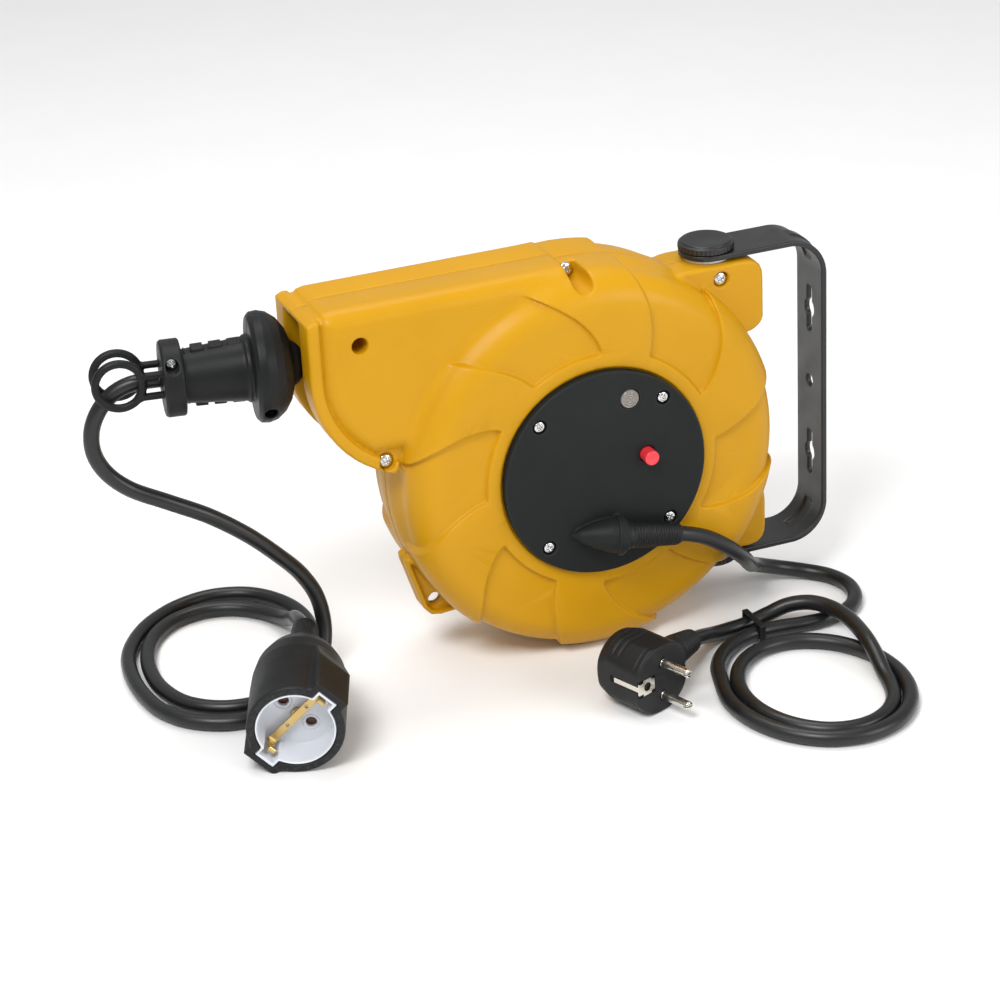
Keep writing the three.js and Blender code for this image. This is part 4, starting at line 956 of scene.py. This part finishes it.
BROWN = material("brown_shutter", srgb(96, 55, 44), 0.5, grain=1500, bump=0.1)
LENS = material("smoked_lens", srgb(122, 114, 108), 0.22, grain=1200, bump=0.1, tint=0.12, coat=0.6)
STEEL = material("plain_steel", srgb(150, 152, 156), 0.3, metal=1.0, grain=1100, bump=0.08, brushed=(1, 1, 6))
GREY = material("grey_abs", srgb(70, 72, 76), 0.5, grain=1800, bump=0.12)
BOARD = material("phenolic_board", srgb(168, 134, 84), 0.55, grain=1600, bump=0.15, tint=0.1)
CARBON = material("carbon", srgb(58, 58, 60), 0.6, grain=2400, bump=0.2)


def dress(mat, slot, *objects):
    for obj in objects:
        obj.data.materials.clear()
        obj.data.materials.append(mat)


dress(YELLOW, "yellow_plastic", front_shell, rear_shell)
dress(COVER, "black_plastic", disc)
dress(BLACK, "black_plastic", *stopper_pieces)
dress(KNOB, "black_plastic", *caps)
dress(LENS, "smoked_lens", lens)
dress(RED, "red_plastic", button)
dress(RUBBER, "black_rubber", sleeve, plug_body, plug_boot, socket_body, relief, tie)
dress(JACKET, "cord_jacket", outlet_cord, mains_cord, inner_lead)
dress(ZINC, "zinc_steel", *screws)
dress(NICKEL, "zinc_steel", *pins)
dress(PAINT, "painted_steel", bracket)
dress(WHITE, "white_plastic", insert)
dress(BRASS, "brass", strap)

CARRIED = {
    "drum_axle": STEEL, "pivot_bolt_top": ZINC, "pivot_bolt_bottom": ZINC, "ratchet_pawl": STEEL,
    "indicator_lamp": LENS, "circuit_breaker": GREY, "drum_front_half": GREY, "drum_rear_half": GREY,
    "cable_winding": JACKET, "spring_cover": STEEL, "spiral_spring": STEEL, "slip_ring_inner": BRASS,
    "slip_ring_middle": BRASS, "slip_ring_outer": BRASS, "plug_earth_contact": NICKEL,
    "plug_earth_strap": NICKEL,
    "socket_contact_left": BRASS, "socket_contact_right": BRASS, "brush_holder": BOARD, "brush_inner": CARBON,
    "brush_middle": CARBON, "brush_outer": CARBON, "pivot_washer_top": WHITE, "pivot_washer_bottom": WHITE,
    "socket_shutter": BROWN,
}
for node, mat in CARRIED.items():
    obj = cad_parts[node]
    if not obj.material_slots:
        obj.data.materials.append(None)
    for material_slot in obj.material_slots:
        material_slot.link = "OBJECT"
        material_slot.material = mat

# ---------------------------------------------------------------- cords
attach(outlet_cord, "outlet")
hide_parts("outlet_cord")
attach(inner_lead, "outlet")
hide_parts("cable_lead")
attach(mains_cord, "housing")
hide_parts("mains_cord")
tuple(place(*outlet_pts[0]))
round(length_of(outlet_pts), 3)
round(length_of(mains_pts), 3)

# ---------------------------------------------------------------- floor, lights
floor_mesh = bpy.data.meshes.new("floor")
z0 = float(place(0, 0, BENCH_Z - 0.15).z)
floor_mesh.from_pydata([(-6, -6, z0), (6, -6, z0), (6, 6, z0), (-6, 6, z0)], [], [(0, 1, 2, 3)])
floor = link(bpy.data.objects.new("floor", floor_mesh))
floor_mesh.materials.append(material("floor_white", srgb(246, 246, 246), 0.7, grain=60, bump=0.02,
                                     tint=0.005))

world = bpy.data.worlds.new("studio")
bpy.context.scene.world = world
world.use_nodes = True
world.node_tree.nodes["Background"].inputs["Color"].default_value = (1.0, 1.0, 1.0, 1.0)
world.node_tree.nodes["Background"].inputs["Strength"].default_value = 0.5


def softbox(name, location, target, size, energy):
    data = bpy.data.lights.new(name, "AREA")
    data.shape = "RECTANGLE"
    data.size, data.size_y = size
    data.energy = energy
    obj = link(bpy.data.objects.new(name, data))
    obj.location = Vector(location)
    obj.rotation_euler = (Vector(target) - Vector(location)).to_track_quat("-Z", "Y").to_euler()


CENTRE = (-0.2, 0.0, -0.04)
softbox("key", (-1.1, -0.9, 1.5), CENTRE, (0.8, 0.6), 26)
softbox("fill", (0.9, -1.4, 0.7), CENTRE, (1.0, 0.8), 12)
softbox("top", (-0.2, 0.5, 1.6), CENTRE, (1.2, 0.7), 12)
bpy.context.scene.view_settings.view_transform = "Standard"
